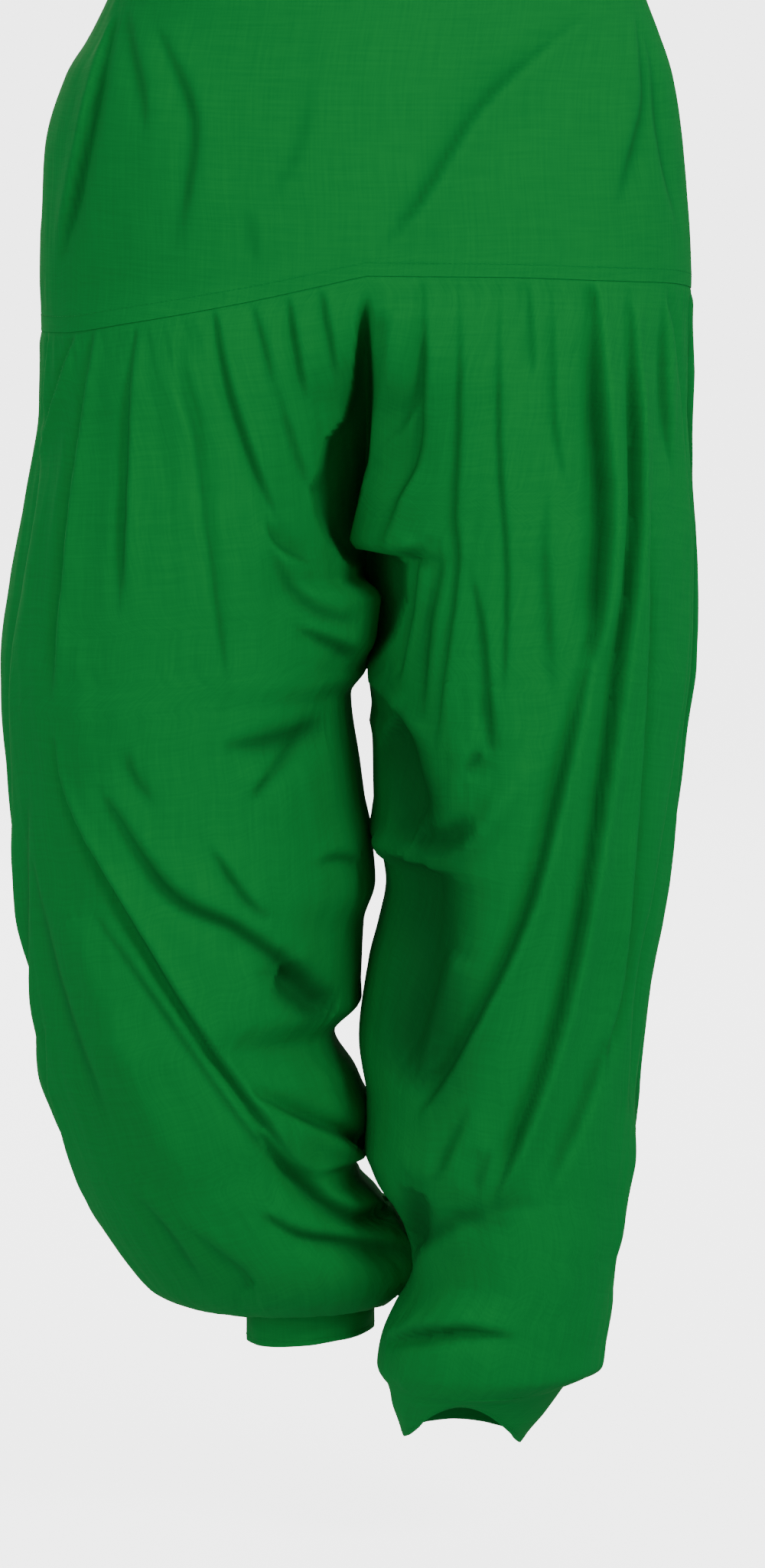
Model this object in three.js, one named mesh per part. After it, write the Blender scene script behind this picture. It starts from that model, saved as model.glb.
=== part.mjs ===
// Patiala salwar, hollow and filled out as when worn: a drawstring casing, a deep hip yoke of two panels,
// two wide pleated legs of a front and a back panel each, and an ankle cuff on each leg.
// Millimetres, +Z up, +Y to the back, +X to the garment's left. The origin is the middle of the waist.
import * as THREE from 'three';

// Driving dimensions
const WALL = 2; // thickness of the cloth wall
const SEAM_GAP = 0.3; // space between two pieces along a seam
const CASING_HEIGHT = 38;
const CASING_WALL = 3; // the casing is cloth folded double
const CASING_GATHERS = 30;
const CASING_GATHER_DEPTH = 1.6;
const CUFF_WALL = 2.6; // cloth with a stiffening under it
const HIP_Z = -236; // the hip is one ring above this height and divides into two legs below it
const PLEATS_END_Z = -312; // the first whole ring of wall rows in a leg
const CROTCH_Z = -478;
const PLEAT_TROUGH = 5; // half width of a pleat's inner crease
const PLEAT_LIP = 8; // half width of the fold that stands beside the crease
const PLEAT_LIP_SHARE = 0.7; // height of that fold for one millimetre of crease
const PLEAT_START = 14; // distance below the seam at which a pleat has its full depth
const LIP_AWAY = 10.4; // from the crease to the top of the fold beside it
const EDGE_EASE = 0.035; // share of the girth over which folds die out towards the crotch seam and inseam
const HEM_EASE = 25; // length over which folds die out towards the cuff

// How finely the walls are divided
const YOKE_ROWS = 7;
const YOKE_COLUMNS = 14; // in each half of a yoke panel
const PLEAT_ROWS = 4; // from the yoke seam to PLEATS_END_Z
const POINTS_PER_GATHER = 3;
const CUFF_COLUMNS = 32;
const CUFF_ROWS = 3;
const FOLD_MARKS = 24; // points in which a loose fold is laid out

const GREEN = { color: 0x14783a, roughness: 0.9, metalness: 0 };

// Turns a table of bare rows into objects with named columns.
function table(columns, rows) {
  return rows.map((row) => Object.fromEntries(columns.map((name, i) => [name, row[i]])));
}

// Rings of each half from the waist down to where the cuff is sewn on.
// out: reach to the half's own side. inn: where the ring closes on the inner side, negative past the middle.
// front, back: y of the ring. steps: wall rows from the ring above, in the legs.
const RING_COLUMNS = ['z', 'out', 'inn', 'front', 'back', 'steps'];
const RINGS = {
  right: table(RING_COLUMNS, [
    [0, 138, -138, -92, 92, 0],
    [-CASING_HEIGHT, 150, -150, -98, 99, 0],
    [-84, 171, -171, -108, 117, 0],
    [-111, 187, -187, -113, 126, 0],
    [-158, 200, -200, -119, 137, 0],
    [HIP_Z, 204, -204, -125, 145, 0],
    [-265, 203, -120, -127, 145, 0],
    [PLEATS_END_Z, 203, -30, -129, 142, 0],
    [-372, 212, -10, -130, 137, 2],
    [-420, 221, -4, -129, 133, 1],
    [CROTCH_Z, 228, 0.15, -126, 128, 2],
    [-494, 228, 10, -125, 127, 1],
    [-540, 225, 4, -121, 124, 1],
    [-589, 223, -2, -117, 122, 1],
    [-613, 221, -4, -115, 121, 1],
    [-638, 219, 3, -112, 121, 1],
    [-687, 213, 5, -106, 121, 2],
    [-709, 210, 24, -102, 122, 1],
    [-736, 207, 9, -96, 122, 1],
    [-761, 199, 1, -90, 122, 1],
    [-786, 190, 8, -82, 122, 1],
    [-812, 180, -4, -73, 121, 1],
    [-837, 169, -19, -62, 119, 1],
    [-863, 153, -30, -47, 114, 1],
    [-880, 138, -22, -32, 107, 1],
    [-889, 116, -12, -16, 100, 1],
    [-872.3, 80, -8, 0, 93, 1],
  ]),
  left: table(RING_COLUMNS, [
    [0, 146, -146, -92, 92, 0],
    [-CASING_HEIGHT, 162, -162, -98, 99, 0],
    [-84, 181, -181, -108, 117, 0],
    [-111, 190, -190, -113, 126, 0],
    [-158, 197, -197, -119, 137, 0],
    [HIP_Z, 202, -202, -125, 145, 0],
    [-265, 201, -118, -127, 145, 0],
    [PLEATS_END_Z, 201, -30, -129, 142, 0],
    [-348, 203, -16, -130, 138, 1],
    [-396, 206, -7, -131, 133, 1],
    [-444, 206, -3, -131, 128, 1],
    [CROTCH_Z, 205, 0.15, -130, 123, 1],
    [-516, 200, 4, -129, 118, 1],
    [-564, 195, 5, -126, 113, 1],
    [-588, 192, 8, -125, 110, 1],
    [-612, 189, 12, -123, 108, 1],
    [-636, 185, 8, -121, 105, 1],
    [-660, 181, 2, -119, 103, 1],
    [-709, 175, -4, -114, 97, 2],
    [-757, 171, 3, -107, 91, 2],
    [-782, 169, 4, -104, 88, 1],
    [-806, 165, 10, -100, 84, 1],
    [-831, 162, 25, -96, 80, 1],
    [-855, 157, 33, -93, 76, 1],
    [-880, 155, 18, -90, 70, 1],
    [-904, 151, 8, -87, 64, 1],
    [-918, 149, 6, -84, 58, 1],
    [-929.7, 126, 12, -76, 50, 1],
  ]),
};

// Height of the yoke seam at even steps round each half, from the front middle by the side to the back middle.
const YOKE_SEAM = {
  right: [-229, -246, -258, -266, -267, -264, -258, -252, -247],
  left: [-229, -230, -233, -236, -241, -243, -244, -246, -247],
};

// Pleats let into the yoke seam, all folded away from the middle.
// share: place round the half, 0 at the front middle, 0.5 at the side, 1 at the back middle.
// length: how far the pleat runs down before it opens out.
const PLEAT_COLUMNS = ['share', 'deep', 'length'];
const PLEATS = {
  right: table(PLEAT_COLUMNS, [
    [0.034, 4, 70],
    [0.069, 5, 110],
    [0.105, 4, 120],
    [0.143, 6, 200],
    [0.184, 5, 230],
    [0.241, 5, 210],
    [0.308, 6, 250],
    [0.345, 7, 170],
    [0.39, 4, 120],
    [0.432, 5, 140],
    [0.53, 4, 170],
    [0.59, 6, 200],
    [0.65, 5, 180],
    [0.71, 6, 230],
    [0.77, 5, 190],
    [0.83, 6, 220],
    [0.89, 5, 150],
    [0.94, 4, 110],
  ]),
  left: table(PLEAT_COLUMNS, [
    [0.054, 6, 200],
    [0.089, 5, 190],
    [0.131, 6, 220],
    [0.162, 4, 120],
    [0.192, 5, 190],
    [0.245, 8, 260],
    [0.3, 7, 260],
    [0.365, 5, 160],
    [0.41, 5, 180],
    [0.465, 4, 170],
    [0.53, 4, 170],
    [0.59, 6, 210],
    [0.65, 5, 180],
    [0.71, 6, 220],
    [0.77, 5, 190],
    [0.83, 6, 220],
    [0.89, 5, 150],
    [0.94, 4, 110],
  ]),
};

// The largest loose folds: troughs through four places, x and z, on the front or the back face.
const FOLD_COLUMNS = ['side', 'face', 'x1', 'z1', 'x2', 'z2', 'x3', 'z3', 'x4', 'z4', 'wide', 'deep'];
const FOLDS = table(FOLD_COLUMNS, [
  ['right', 'front', -154, -56, -164, -108, -173, -155, -182, -215, 9, 6],
  ['right', 'front', -129, -67, -109, -121, -107, -183, -118, -220, 10, 2.5],
  ['left', 'front', 136, -63, 80, -115, 37, -176, 4, -219, 9, 3.5],
  ['left', 'front', 163, -67, 165, -113, 155, -164, 149, -211, 10, 3.5],
  ['right', 'front', -183, -378, -191, -472, -185, -548, -154, -604, 11, 6],
  ['right', 'front', -154, -604, -117, -664, -72, -736, -14, -800, 14, 8],
  ['right', 'front', -63, -360, -46, -397, -33, -431, -8, -455, 11, 6],
  ['right', 'front', -89, -513, -65, -512, -42, -505, -15, -495, 13, 6],
  ['right', 'front', -171, -544, -117, -609, -70, -633, -23, -673, 14, 10],
  ['right', 'front', -70, -738, -42, -749, -23, -760, -9, -771, 12, 6],
  ['right', 'front', -69, -808, -31, -823, 0, -829, 20, -836, 11, 6],
  ['right', 'front', -197, -599, -174, -694, -131, -767, -71, -831, 16, 5],
  ['left', 'front', 33, -324, 31, -372, 26, -425, 13, -474, 10, 9],
  ['left', 'front', 56, -353, 54, -401, 50, -452, 39, -513, 10, 7],
  ['left', 'front', 86, -372, 87, -411, 86, -450, 83, -495, 10, 5],
  ['left', 'front', 143, -324, 145, -392, 140, -460, 124, -519, 12, 10],
  ['left', 'front', 124, -519, 104, -609, 75, -680, 35, -743, 13, 10],
  ['left', 'front', 164, -360, 153, -472, 144, -562, 134, -637, 11, 8],
  ['left', 'front', 134, -637, 123, -686, 109, -738, 88, -802, 12, 8],
  ['left', 'front', 168, -416, 170, -505, 163, -613, 141, -753, 11, 7],
  ['left', 'front', 17, -510, 24, -544, 47, -562, 75, -542, 13, 8],
  ['left', 'front', 18, -605, 29, -647, 27, -690, 24, -728, 15, 9],
  ['left', 'front', 38, -800, 59, -806, 87, -805, 118, -794, 12, 6],
  ['right', 'back', -150, -400, -162, -480, -150, -560, -110, -640, 13, 8],
  ['right', 'back', -95, -420, -104, -500, -90, -580, -40, -650, 13, 7],
  ['right', 'back', -186, -500, -184, -600, -160, -690, -110, -770, 13, 7],
  ['right', 'back', -120, -650, -85, -710, -45, -745, -14, -770, 13, 7],
  ['right', 'back', -140, -740, -100, -790, -50, -815, -8, -826, 12, 6],
  ['left', 'back', 150, -400, 158, -490, 140, -580, 100, -660, 13, 8],
  ['left', 'back', 95, -420, 100, -500, 84, -580, 36, -650, 13, 7],
  ['left', 'back', 176, -500, 168, -610, 140, -700, 95, -780, 13, 7],
  ['left', 'back', 150, -740, 120, -790, 80, -820, 40, -835, 12, 6],
]);

// Cuffs at their top edge and hem. out, inn, front, back: as for the rings.
// lift: how much higher the front stands than the sides. tilt: rise towards the inner side.
const CUFF_LEVELS = ['side', 'level', 'z', 'out', 'inn', 'front', 'back', 'lift', 'tilt'];
const CUFFS = table(CUFF_LEVELS, [
  ['right', 'top', -872.8, 79.6, -7.6, 0.4, 92.6, 0, 0],
  ['right', 'hem', -915, 77, -4, 2, 90, 0, 9],
  ['left', 'top', -930.2, 125.6, 12.4, -75.6, 49.6, 0, 0],
  ['left', 'hem', -969, 97, 23, -66, 44, 31, 4],
]);

// Smooth curve through table values that never overshoots between two rows.
function smoothCurve(at, value) {
  const last = at.length - 1;
  const slope = at.slice(1).map((x, i) => (value[i + 1] - value[i]) / (x - at[i]));
  const tangent = value.map((_, i) => {
    if (i === 0) return slope[0];
    if (i === last) return slope[last - 1];
    const product = slope[i - 1] * slope[i];
    return product <= 0 ? 0 : (2 * product) / (slope[i - 1] + slope[i]);
  });
  return (x) => {
    let i = 0;
    while (i < last - 1 && x > at[i + 1]) i += 1;
    const width = at[i + 1] - at[i];
    const t = Math.min(Math.max((x - at[i]) / width, 0), 1);
    const t2 = t * t;
    const t3 = t2 * t;
    return (2 * t3 - 3 * t2 + 1) * value[i] + (t3 - 2 * t2 + t) * width * tangent[i]
      + (3 * t2 - 2 * t3) * value[i + 1] + (t3 - t2) * width * tangent[i + 1];
  };
}

// Value between low and high at which a rising test function turns true.
function search(low, high, isPast) {
  let from = low;
  let to = high;
  for (let i = 0; i < 40; i += 1) {
    const middle = (from + to) / 2;
    if (isPast(middle)) to = middle;
    else from = middle;
  }
  return (from + to) / 2;
}

function smoothStep(from, to, x) {
  const t = Math.min(Math.max((x - from) / (to - from), 0), 1);
  return t * t * (3 - 2 * t);
}

// One half of the garment: its rings as curves over "down", the length of cloth from the waist.
function makeHalf(side) {
  const rings = RINGS[side];
  const down = [0];
  for (let i = 1; i < rings.length; i += 1) {
    down.push(down[i - 1] + Math.hypot(rings[i].z - rings[i - 1].z, rings[i].out - rings[i - 1].out));
  }
  const curve = (name) => smoothCurve(down, rings.map((ring) => ring[name]));
  const half = { side, rings, down, sign: side === 'left' ? 1 : -1 };
  for (const name of ['z', 'out', 'inn', 'front', 'back']) half[name] = curve(name);
  // Only the last ring turns up again, under the balloon of the leg.
  const lowest = down[down.length - 2];
  half.downAt = (z) => search(0, lowest, (d) => half.z(d) < z);
  const seam = YOKE_SEAM[side];
  const seamZ = smoothCurve(seam.map((_, i) => i / (seam.length - 1)), seam);
  half.seamDown = (share) => half.downAt(seamZ(share));
  half.crotchDown = down[rings.findIndex((ring) => ring.z === CROTCH_Z)];
  half.hemDown = down[down.length - 1];
  return half;
}

const HALVES = { right: makeHalf('right'), left: makeHalf('left') };

// Middle and half width of a half's ring, in its own side's direction and in depth.
function ringAt(half, down) {
  const [out, inn, front, back] = ['out', 'inn', 'front', 'back'].map((name) => half[name](down));
  return { centre: (out + inn) / 2, reach: (out - inn) / 2, middle: (front + back) / 2, depth: (back - front) / 2 };
}

// Nearest that a half comes to the middle plane.
function innerLimit(half, down) {
  return down < half.crotchDown ? SEAM_GAP / 2 : half.inn(down);
}

// A point of the smooth form: share runs round the half from the front middle by the side to the back middle.
function formPoint(half, share, down) {
  const { centre, reach, middle, depth } = ringAt(half, down);
  const closed = down >= half.crotchDown;
  const open = closed ? 0 : Math.acos(THREE.MathUtils.clamp((centre - SEAM_GAP / 2) / reach, -1, 1));
  const angle = open + share * 2 * (Math.PI - open);
  return new THREE.Vector3(
    half.sign * (centre - reach * Math.cos(angle)),
    middle - depth * Math.sin(angle),
    half.z(down),
  );
}

// Outward direction of the smooth form.
function formNormal(half, share, down) {
  const [before, after] = [Math.max(share - 0.002, 0), Math.min(share + 0.002, 1)];
  const along = formPoint(half, after, down).sub(formPoint(half, before, down));
  const below = formPoint(half, share, down + 1).sub(formPoint(half, share, down - 1));
  return below.cross(along).multiplyScalar(half.sign).normalize();
}

// Length round a half at a height, from front middle to back middle.
function girth(half, down) {
  const { reach, depth } = ringAt(half, down);
  const whole = 2 * Math.PI * Math.sqrt((reach * reach + depth * depth) / 2);
  return half.z(down) > HIP_Z ? whole / 2 : whole;
}

// Lays a fold's four places on the form and gives the points along it, weaker towards its ends.
function layFold(fold) {
  const half = HALVES[fold.side];
  const inner = fold.face === 'front' ? 0.003 : 0.997;
  const marks = [1, 2, 3, 4].map((k) => {
    const down = half.downAt(fold[`z${k}`]);
    const reachesX = (t) => half.sign * formPoint(half, inner + (0.5 - inner) * t, down).x
      > half.sign * fold[`x${k}`];
    const share = inner + (0.5 - inner) * search(0, 1, reachesX);
    return new THREE.Vector3(share, down, 0);
  });
  return new THREE.CatmullRomCurve3(marks).getPoints(FOLD_MARKS).map((mark, i) => ({
    point: formPoint(half, mark.x, mark.y),
    strength: Math.sin((Math.PI * (i + 1)) / (FOLD_MARKS + 2)) ** 0.6,
  }));
}

const LAID_FOLDS = FOLDS.map((fold) => ({ ...fold, line: layFold(fold) }));

// How far one pleat moves the cloth out, at a length below the yoke seam.
function pleatHeight(pleat, share, below, hipGirth) {
  const fade = smoothStep(0, PLEAT_START, below) * (1 - smoothStep(0.35, 1, below / pleat.length));
  const away = (share - pleat.share) * hipGirth;
  const lipAway = away - (pleat.share < 0.5 ? LIP_AWAY : -LIP_AWAY);
  const crease = Math.exp(-((away / PLEAT_TROUGH) ** 2));
  const lip = Math.exp(-((lipAway / PLEAT_LIP) ** 2));
  return fade * pleat.deep * (PLEAT_LIP_SHARE * lip - crease);
}

// How far one loose fold moves the cloth out: a trough with a low swell beside it.
function looseHeight(fold, point) {
  let nearest = Infinity;
  let strength = 0;
  for (const mark of fold.line) {
    const distance = mark.point.distanceTo(point);
    if (distance < nearest) {
      nearest = distance;
      strength = mark.strength;
    }
  }
  const t = nearest / fold.wide;
  return strength * fold.deep * (0.45 * Math.exp(-((t - 1.7) ** 2)) - Math.exp(-t * t));
}

function foldHeight(half, share, down, point) {
  let height = 0;
  const below = down - half.seamDown(share);
  const hipGirth = girth(half, half.seamDown(0.5));
  if (below > 0) {
    for (const pleat of PLEATS[half.side]) height += pleatHeight(pleat, share, below, hipGirth);
  }
  for (const fold of LAID_FOLDS) {
    if (fold.side === half.side) height += looseHeight(fold, point);
  }
  const ease = below > 0 ? smoothStep(0, EDGE_EASE, Math.min(share, 1 - share)) : 1;
  return height * ease * smoothStep(0, HEM_EASE, half.hemDown - down);
}

// A point of the folded outer face.
function clothPoint(half, share, down) {
  const point = formPoint(half, share, down);
  const normal = formNormal(half, share, down);
  point.addScaledVector(normal, foldHeight(half, share, down, point));
  const limit = innerLimit(half, down);
  if (half.sign * point.x < limit) point.x = half.sign * limit;
  return point;
}

// Closed solid between an outer and an inner grid of points, open at its sides or joined to a ring.
// Rows run downwards, and columns so that the outer face points out.
function wallSolid(outer, inner, ring = false) {
  const rows = outer.length;
  const columns = outer[0].length;
  const positions = [outer, inner].flat(2).flatMap((point) => [point.x, point.y, point.z]);
  const index = [];
  const at = (layer, row, column) => layer * rows * columns + row * columns + (column % columns);
  const quad = (a, b, c, d) => index.push(a, b, c, a, c, d);
  const spans = ring ? columns : columns - 1;
  const bottom = rows - 1;
  for (let c = 0; c < spans; c += 1) {
    for (let r = 0; r < bottom; r += 1) {
      quad(at(0, r, c), at(0, r + 1, c), at(0, r + 1, c + 1), at(0, r, c + 1));
      quad(at(1, r, c), at(1, r, c + 1), at(1, r + 1, c + 1), at(1, r + 1, c));
    }
    quad(at(0, 0, c), at(0, 0, c + 1), at(1, 0, c + 1), at(1, 0, c));
    quad(at(0, bottom, c), at(1, bottom, c), at(1, bottom, c + 1), at(0, bottom, c + 1));
  }
  for (let r = 0; r < bottom && !ring; r += 1) {
    quad(at(0, r, 0), at(1, r, 0), at(1, r + 1, 0), at(0, r + 1, 0));
    quad(at(0, r, spans), at(0, r + 1, spans), at(1, r + 1, spans), at(1, r, spans));
  }
  const geometry = new THREE.BufferGeometry();
  geometry.setAttribute('position', new THREE.Float32BufferAttribute(positions, 3));
  geometry.setIndex(index);
  geometry.computeVertexNormals();
  return geometry;
}

function cloth(name, geometry) {
  const mesh = new THREE.Mesh(geometry, new THREE.MeshStandardMaterial(GREEN));
  mesh.name = name;
  return mesh;
}

// Wall over the given columns, with downsOf giving the rows of a column. The first and last rows and columns
// take their direction from the smooth form, so that the two sides of a seam stay parallel.
function clothWall(columns, downsOf) {
  const places = columns.map(({ half, share, nudge = 0 }) => downsOf(half, share).map((down) => ({
    half,
    down,
    share: share + (nudge * SEAM_GAP) / 2 / girth(half, down),
  })));
  const rows = places[0].length;
  const outer = Array.from({ length: rows }, (_, r) => places.map((column) => {
    const { half, share, down } = column[r];
    return clothPoint(half, share, down);
  }));
  const inner = outer.map((row, r) => row.map((point, c) => {
    const { half, share, down } = places[c][r];
    const onEdge = r === 0 || c === 0 || r === rows - 1 || c === row.length - 1;
    const normal = onEdge
      ? formNormal(half, share, down)
      : outer[r + 1][c].clone().sub(outer[r - 1][c]).cross(row[c + 1].clone().sub(row[c - 1])).normalize();
    const behind = point.clone().addScaledVector(normal, -WALL);
    const limit = innerLimit(half, down);
    if (half.sign * behind.x < limit) behind.x = half.sign * limit;
    return behind;
  }));
  return wallSolid(outer, inner);
}

// Yoke panel across both halves, from the casing down to the yoke seam.
function yokePanel(name, face) {
  const shareAt = (i) => (face === 'front' ? 0.5 * (1 - i / YOKE_COLUMNS) : 0.5 * (1 + i / YOKE_COLUMNS));
  const nudge = face === 'front' ? -1 : 1;
  const halfColumns = (half) => Array.from({ length: YOKE_COLUMNS + 1 }, (_, i) => (
    { half, share: shareAt(i), nudge: i === 0 ? nudge : 0 }
  ));
  const rightToLeft = [...halfColumns(HALVES.right), ...halfColumns(HALVES.left).reverse().slice(1)];
  const columns = face === 'front' ? rightToLeft : rightToLeft.reverse();
  return cloth(name, clothWall(columns, (half, share) => {
    const top = half.downAt(-CASING_HEIGHT - SEAM_GAP);
    const seam = half.seamDown(share) - SEAM_GAP / 2;
    return Array.from({ length: YOKE_ROWS + 1 }, (_, r) => top + ((seam - top) * r) / YOKE_ROWS);
  }));
}

// Places of a leg panel's columns: in each pleat's crease, on the fold beside it and between pleats.
function panelShares(half, from, to) {
  const lip = LIP_AWAY / girth(half, half.seamDown(0.5));
  const pleats = PLEATS[half.side].filter((pleat) => pleat.share > from && pleat.share < to);
  const shares = [from, to];
  pleats.forEach((pleat, i) => {
    const next = pleats[i + 1] ? pleats[i + 1].share : to;
    const folded = pleat.share < 0.5 ? pleat.share + lip : pleat.share - lip;
    const between = pleat.share < 0.5 ? (folded + next) / 2 : (pleat.share + next - lip) / 2;
    shares.push(pleat.share, folded, between);
  });
  return shares.sort((a, b) => a - b);
}

// Leg panel: pleated rows under the yoke seam, then rows at the rings down to the cuff.
function legPanel(name, side, face) {
  const half = HALVES[side];
  const [from, to] = face === 'front' ? [0, 0.5] : [0.5, 1];
  const nudges = new Map([[from, 1], [to, -1]]);
  const columns = panelShares(half, from, to).map((share) => ({ half, share, nudge: nudges.get(share) }));
  if (side === 'right') columns.reverse();
  const first = half.rings.findIndex((ring) => ring.z === PLEATS_END_Z);
  const downs = half.rings.slice(first + 1).flatMap(({ steps }, i) => {
    const [above, below] = half.down.slice(first + i, first + i + 2);
    return Array.from({ length: steps }, (_, k) => above + ((below - above) * (k + 1)) / steps);
  });
  return cloth(name, clothWall(columns, (_, share) => {
    const seam = half.seamDown(share) + SEAM_GAP / 2;
    const pleated = half.down[first] - seam;
    const rows = Array.from({ length: PLEAT_ROWS + 1 }, (__, r) => seam + (pleated * r) / PLEAT_ROWS);
    return [...rows, ...downs];
  }));
}

// Casing: a gathered band round the waist.
function waistCasing(name) {
  const count = CASING_GATHERS * POINTS_PER_GATHER;
  const levels = [0, -CASING_HEIGHT / 2, -CASING_HEIGHT];
  const grids = levels.map((z) => Array.from({ length: count }, (_, i) => {
    const round = (2 * i) / count;
    const half = round < 1 ? HALVES.left : HALVES.right;
    const share = round < 1 ? round : 2 - round;
    const point = formPoint(half, share, half.downAt(z)).setZ(z);
    const normal = formNormal(half, share, half.downAt(z) + 1).setZ(0).normalize();
    const ripple = CASING_GATHER_DEPTH * Math.sin((2 * Math.PI * (i + 0.25)) / POINTS_PER_GATHER);
    const outer = point.clone().addScaledVector(normal, ripple);
    return { outer, inner: outer.clone().addScaledVector(normal, -CASING_WALL) };
  }));
  const face = (name_) => grids.map((row) => row.map((pair) => pair[name_]));
  return cloth(name, wallSolid(face('outer'), face('inner'), true));
}

// Cuff: a closed band whose hem may lift over the instep.
function ankleCuff(name, side) {
  const sign = side === 'left' ? 1 : -1;
  const [top, hem] = ['top', 'hem'].map((level) => CUFFS.find((row) => row.side === side && row.level === level));
  const faceAt = (inset) => Array.from({ length: CUFF_ROWS + 1 }, (_, r) => {
    const mix = (column) => THREE.MathUtils.lerp(top[column], hem[column], r / CUFF_ROWS);
    const across = (mix('out') - mix('inn')) / 2 - inset;
    const depth = (mix('back') - mix('front')) / 2 - inset;
    return Array.from({ length: CUFF_COLUMNS }, (__, c) => {
      const angle = (sign * 2 * Math.PI * c) / CUFF_COLUMNS;
      const facing = Math.max(Math.sin(angle), 0) ** 2;
      const inward = 0.5 + 0.5 * Math.cos(angle);
      return new THREE.Vector3(
        sign * ((mix('out') + mix('inn')) / 2 - across * Math.cos(angle)),
        (mix('front') + mix('back')) / 2 - depth * Math.sin(angle),
        mix('z') + mix('lift') * facing + mix('tilt') * inward,
      );
    });
  });
  return cloth(name, wallSolid(faceAt(0), faceAt(CUFF_WALL), true));
}

const salwar = new THREE.Group();
salwar.add(
  waistCasing('waist_casing'),
  yokePanel('yoke_front', 'front'),
  yokePanel('yoke_back', 'back'),
  legPanel('right_leg_front', 'right', 'front'),
  legPanel('right_leg_back', 'right', 'back'),
  legPanel('left_leg_front', 'left', 'front'),
  legPanel('left_leg_back', 'left', 'back'),
  ankleCuff('right_ankle_cuff', 'right'),
  ankleCuff('left_ankle_cuff', 'left'),
);

export default salwar;
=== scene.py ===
import math
from collections import namedtuple
from functools import lru_cache

import bpy
import numpy as np
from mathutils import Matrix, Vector, noise


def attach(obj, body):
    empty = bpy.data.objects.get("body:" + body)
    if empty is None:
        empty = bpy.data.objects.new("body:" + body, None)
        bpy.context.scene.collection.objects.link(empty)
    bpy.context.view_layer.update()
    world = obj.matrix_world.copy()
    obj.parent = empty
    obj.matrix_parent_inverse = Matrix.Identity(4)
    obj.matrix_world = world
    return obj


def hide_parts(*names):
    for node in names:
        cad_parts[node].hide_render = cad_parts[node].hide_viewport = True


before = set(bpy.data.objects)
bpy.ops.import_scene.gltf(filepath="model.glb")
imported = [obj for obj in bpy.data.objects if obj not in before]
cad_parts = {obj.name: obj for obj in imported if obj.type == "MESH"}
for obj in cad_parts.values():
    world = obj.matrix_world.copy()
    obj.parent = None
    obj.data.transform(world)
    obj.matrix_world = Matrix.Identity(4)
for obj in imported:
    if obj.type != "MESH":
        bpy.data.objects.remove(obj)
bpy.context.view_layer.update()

bl_info = {
    "name": "Patiala salwar",
    "version": (1, 0, 0),
    "blender": (4, 5, 0),
    "location": "View3D > Sidebar > Salwar",
    "description": "Cotton patiala salwar in its worn form: casing, hip yoke, pleated legs and ankle cuffs",
    "category": "Add Mesh",
}

# Lengths in this file are millimetres. Properties, flat cuts and the stage are in metres, and so is MM.
MM = 0.001
SEAM_GAP = 0.3
CASING_HEIGHT = 38.0
HIP_Z = -236.0
CROTCH_Z = -478.0

# Rings of each half from the waist down to where the cuff is sewn on, as in the solids.
# out: reach to the half's own side. inn: where the ring closes on the inner side. front, back: y of the ring.
Ring = namedtuple("Ring", "z out inn front back")
RINGS = {
    "right": [Ring(*row) for row in [
        (0, 138, -138, -92, 92),
        (-CASING_HEIGHT, 150, -150, -98, 99),
        (-84, 171, -171, -108, 117),
        (-111, 187, -187, -113, 126),
        (-158, 200, -200, -119, 137),
        (HIP_Z, 204, -204, -125, 145),
        (-265, 203, -120, -127, 145),
        (-312, 203, -30, -129, 142),
        (-372, 212, -10, -130, 137),
        (-420, 221, -4, -129, 133),
        (CROTCH_Z, 228, 0.15, -126, 128),
        (-494, 228, 10, -125, 127),
        (-540, 225, 4, -121, 124),
        (-589, 223, -2, -117, 122),
        (-613, 221, -4, -115, 121),
        (-638, 219, 3, -112, 121),
        (-687, 213, 5, -106, 121),
        (-709, 210, 24, -102, 122),
        (-736, 207, 9, -96, 122),
        (-761, 199, 1, -90, 122),
        (-786, 190, 8, -82, 122),
        (-812, 180, -4, -73, 121),
        (-837, 169, -19, -62, 119),
        (-863, 153, -30, -47, 114),
        (-880, 138, -22, -32, 107),
        (-889, 116, -12, -16, 100),
        (-872.3, 80, -8, 0, 93),
    ]],
    "left": [Ring(*row) for row in [
        (0, 146, -146, -92, 92),
        (-CASING_HEIGHT, 162, -162, -98, 99),
        (-84, 181, -181, -108, 117),
        (-111, 190, -190, -113, 126),
        (-158, 197, -197, -119, 137),
        (HIP_Z, 202, -202, -125, 145),
        (-265, 201, -118, -127, 145),
        (-312, 201, -30, -129, 142),
        (-348, 203, -16, -130, 138),
        (-396, 206, -7, -131, 133),
        (-444, 206, -3, -131, 128),
        (CROTCH_Z, 205, 0.15, -130, 123),
        (-516, 200, 4, -129, 118),
        (-564, 195, 5, -126, 113),
        (-588, 192, 8, -125, 110),
        (-612, 189, 12, -123, 108),
        (-636, 185, 8, -121, 105),
        (-660, 181, 2, -119, 103),
        (-709, 175, -4, -114, 97),
        (-757, 171, 3, -107, 91),
        (-782, 169, 4, -104, 88),
        (-806, 165, 10, -100, 84),
        (-831, 162, 25, -96, 80),
        (-855, 157, 33, -93, 76),
        (-880, 155, 18, -90, 70),
        (-904, 151, 8, -87, 64),
        (-918, 149, 6, -84, 58),
        (-929.7, 126, 12, -76, 50),
    ]],
}

# Height of the yoke seam at even steps round each half, from the front middle by the side to the back middle.
YOKE_SEAM = {
    "right": [-229, -246, -258, -266, -267, -264, -258, -252, -247],
    "left": [-229, -230, -233, -236, -241, -243, -244, -246, -247],
}

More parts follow.
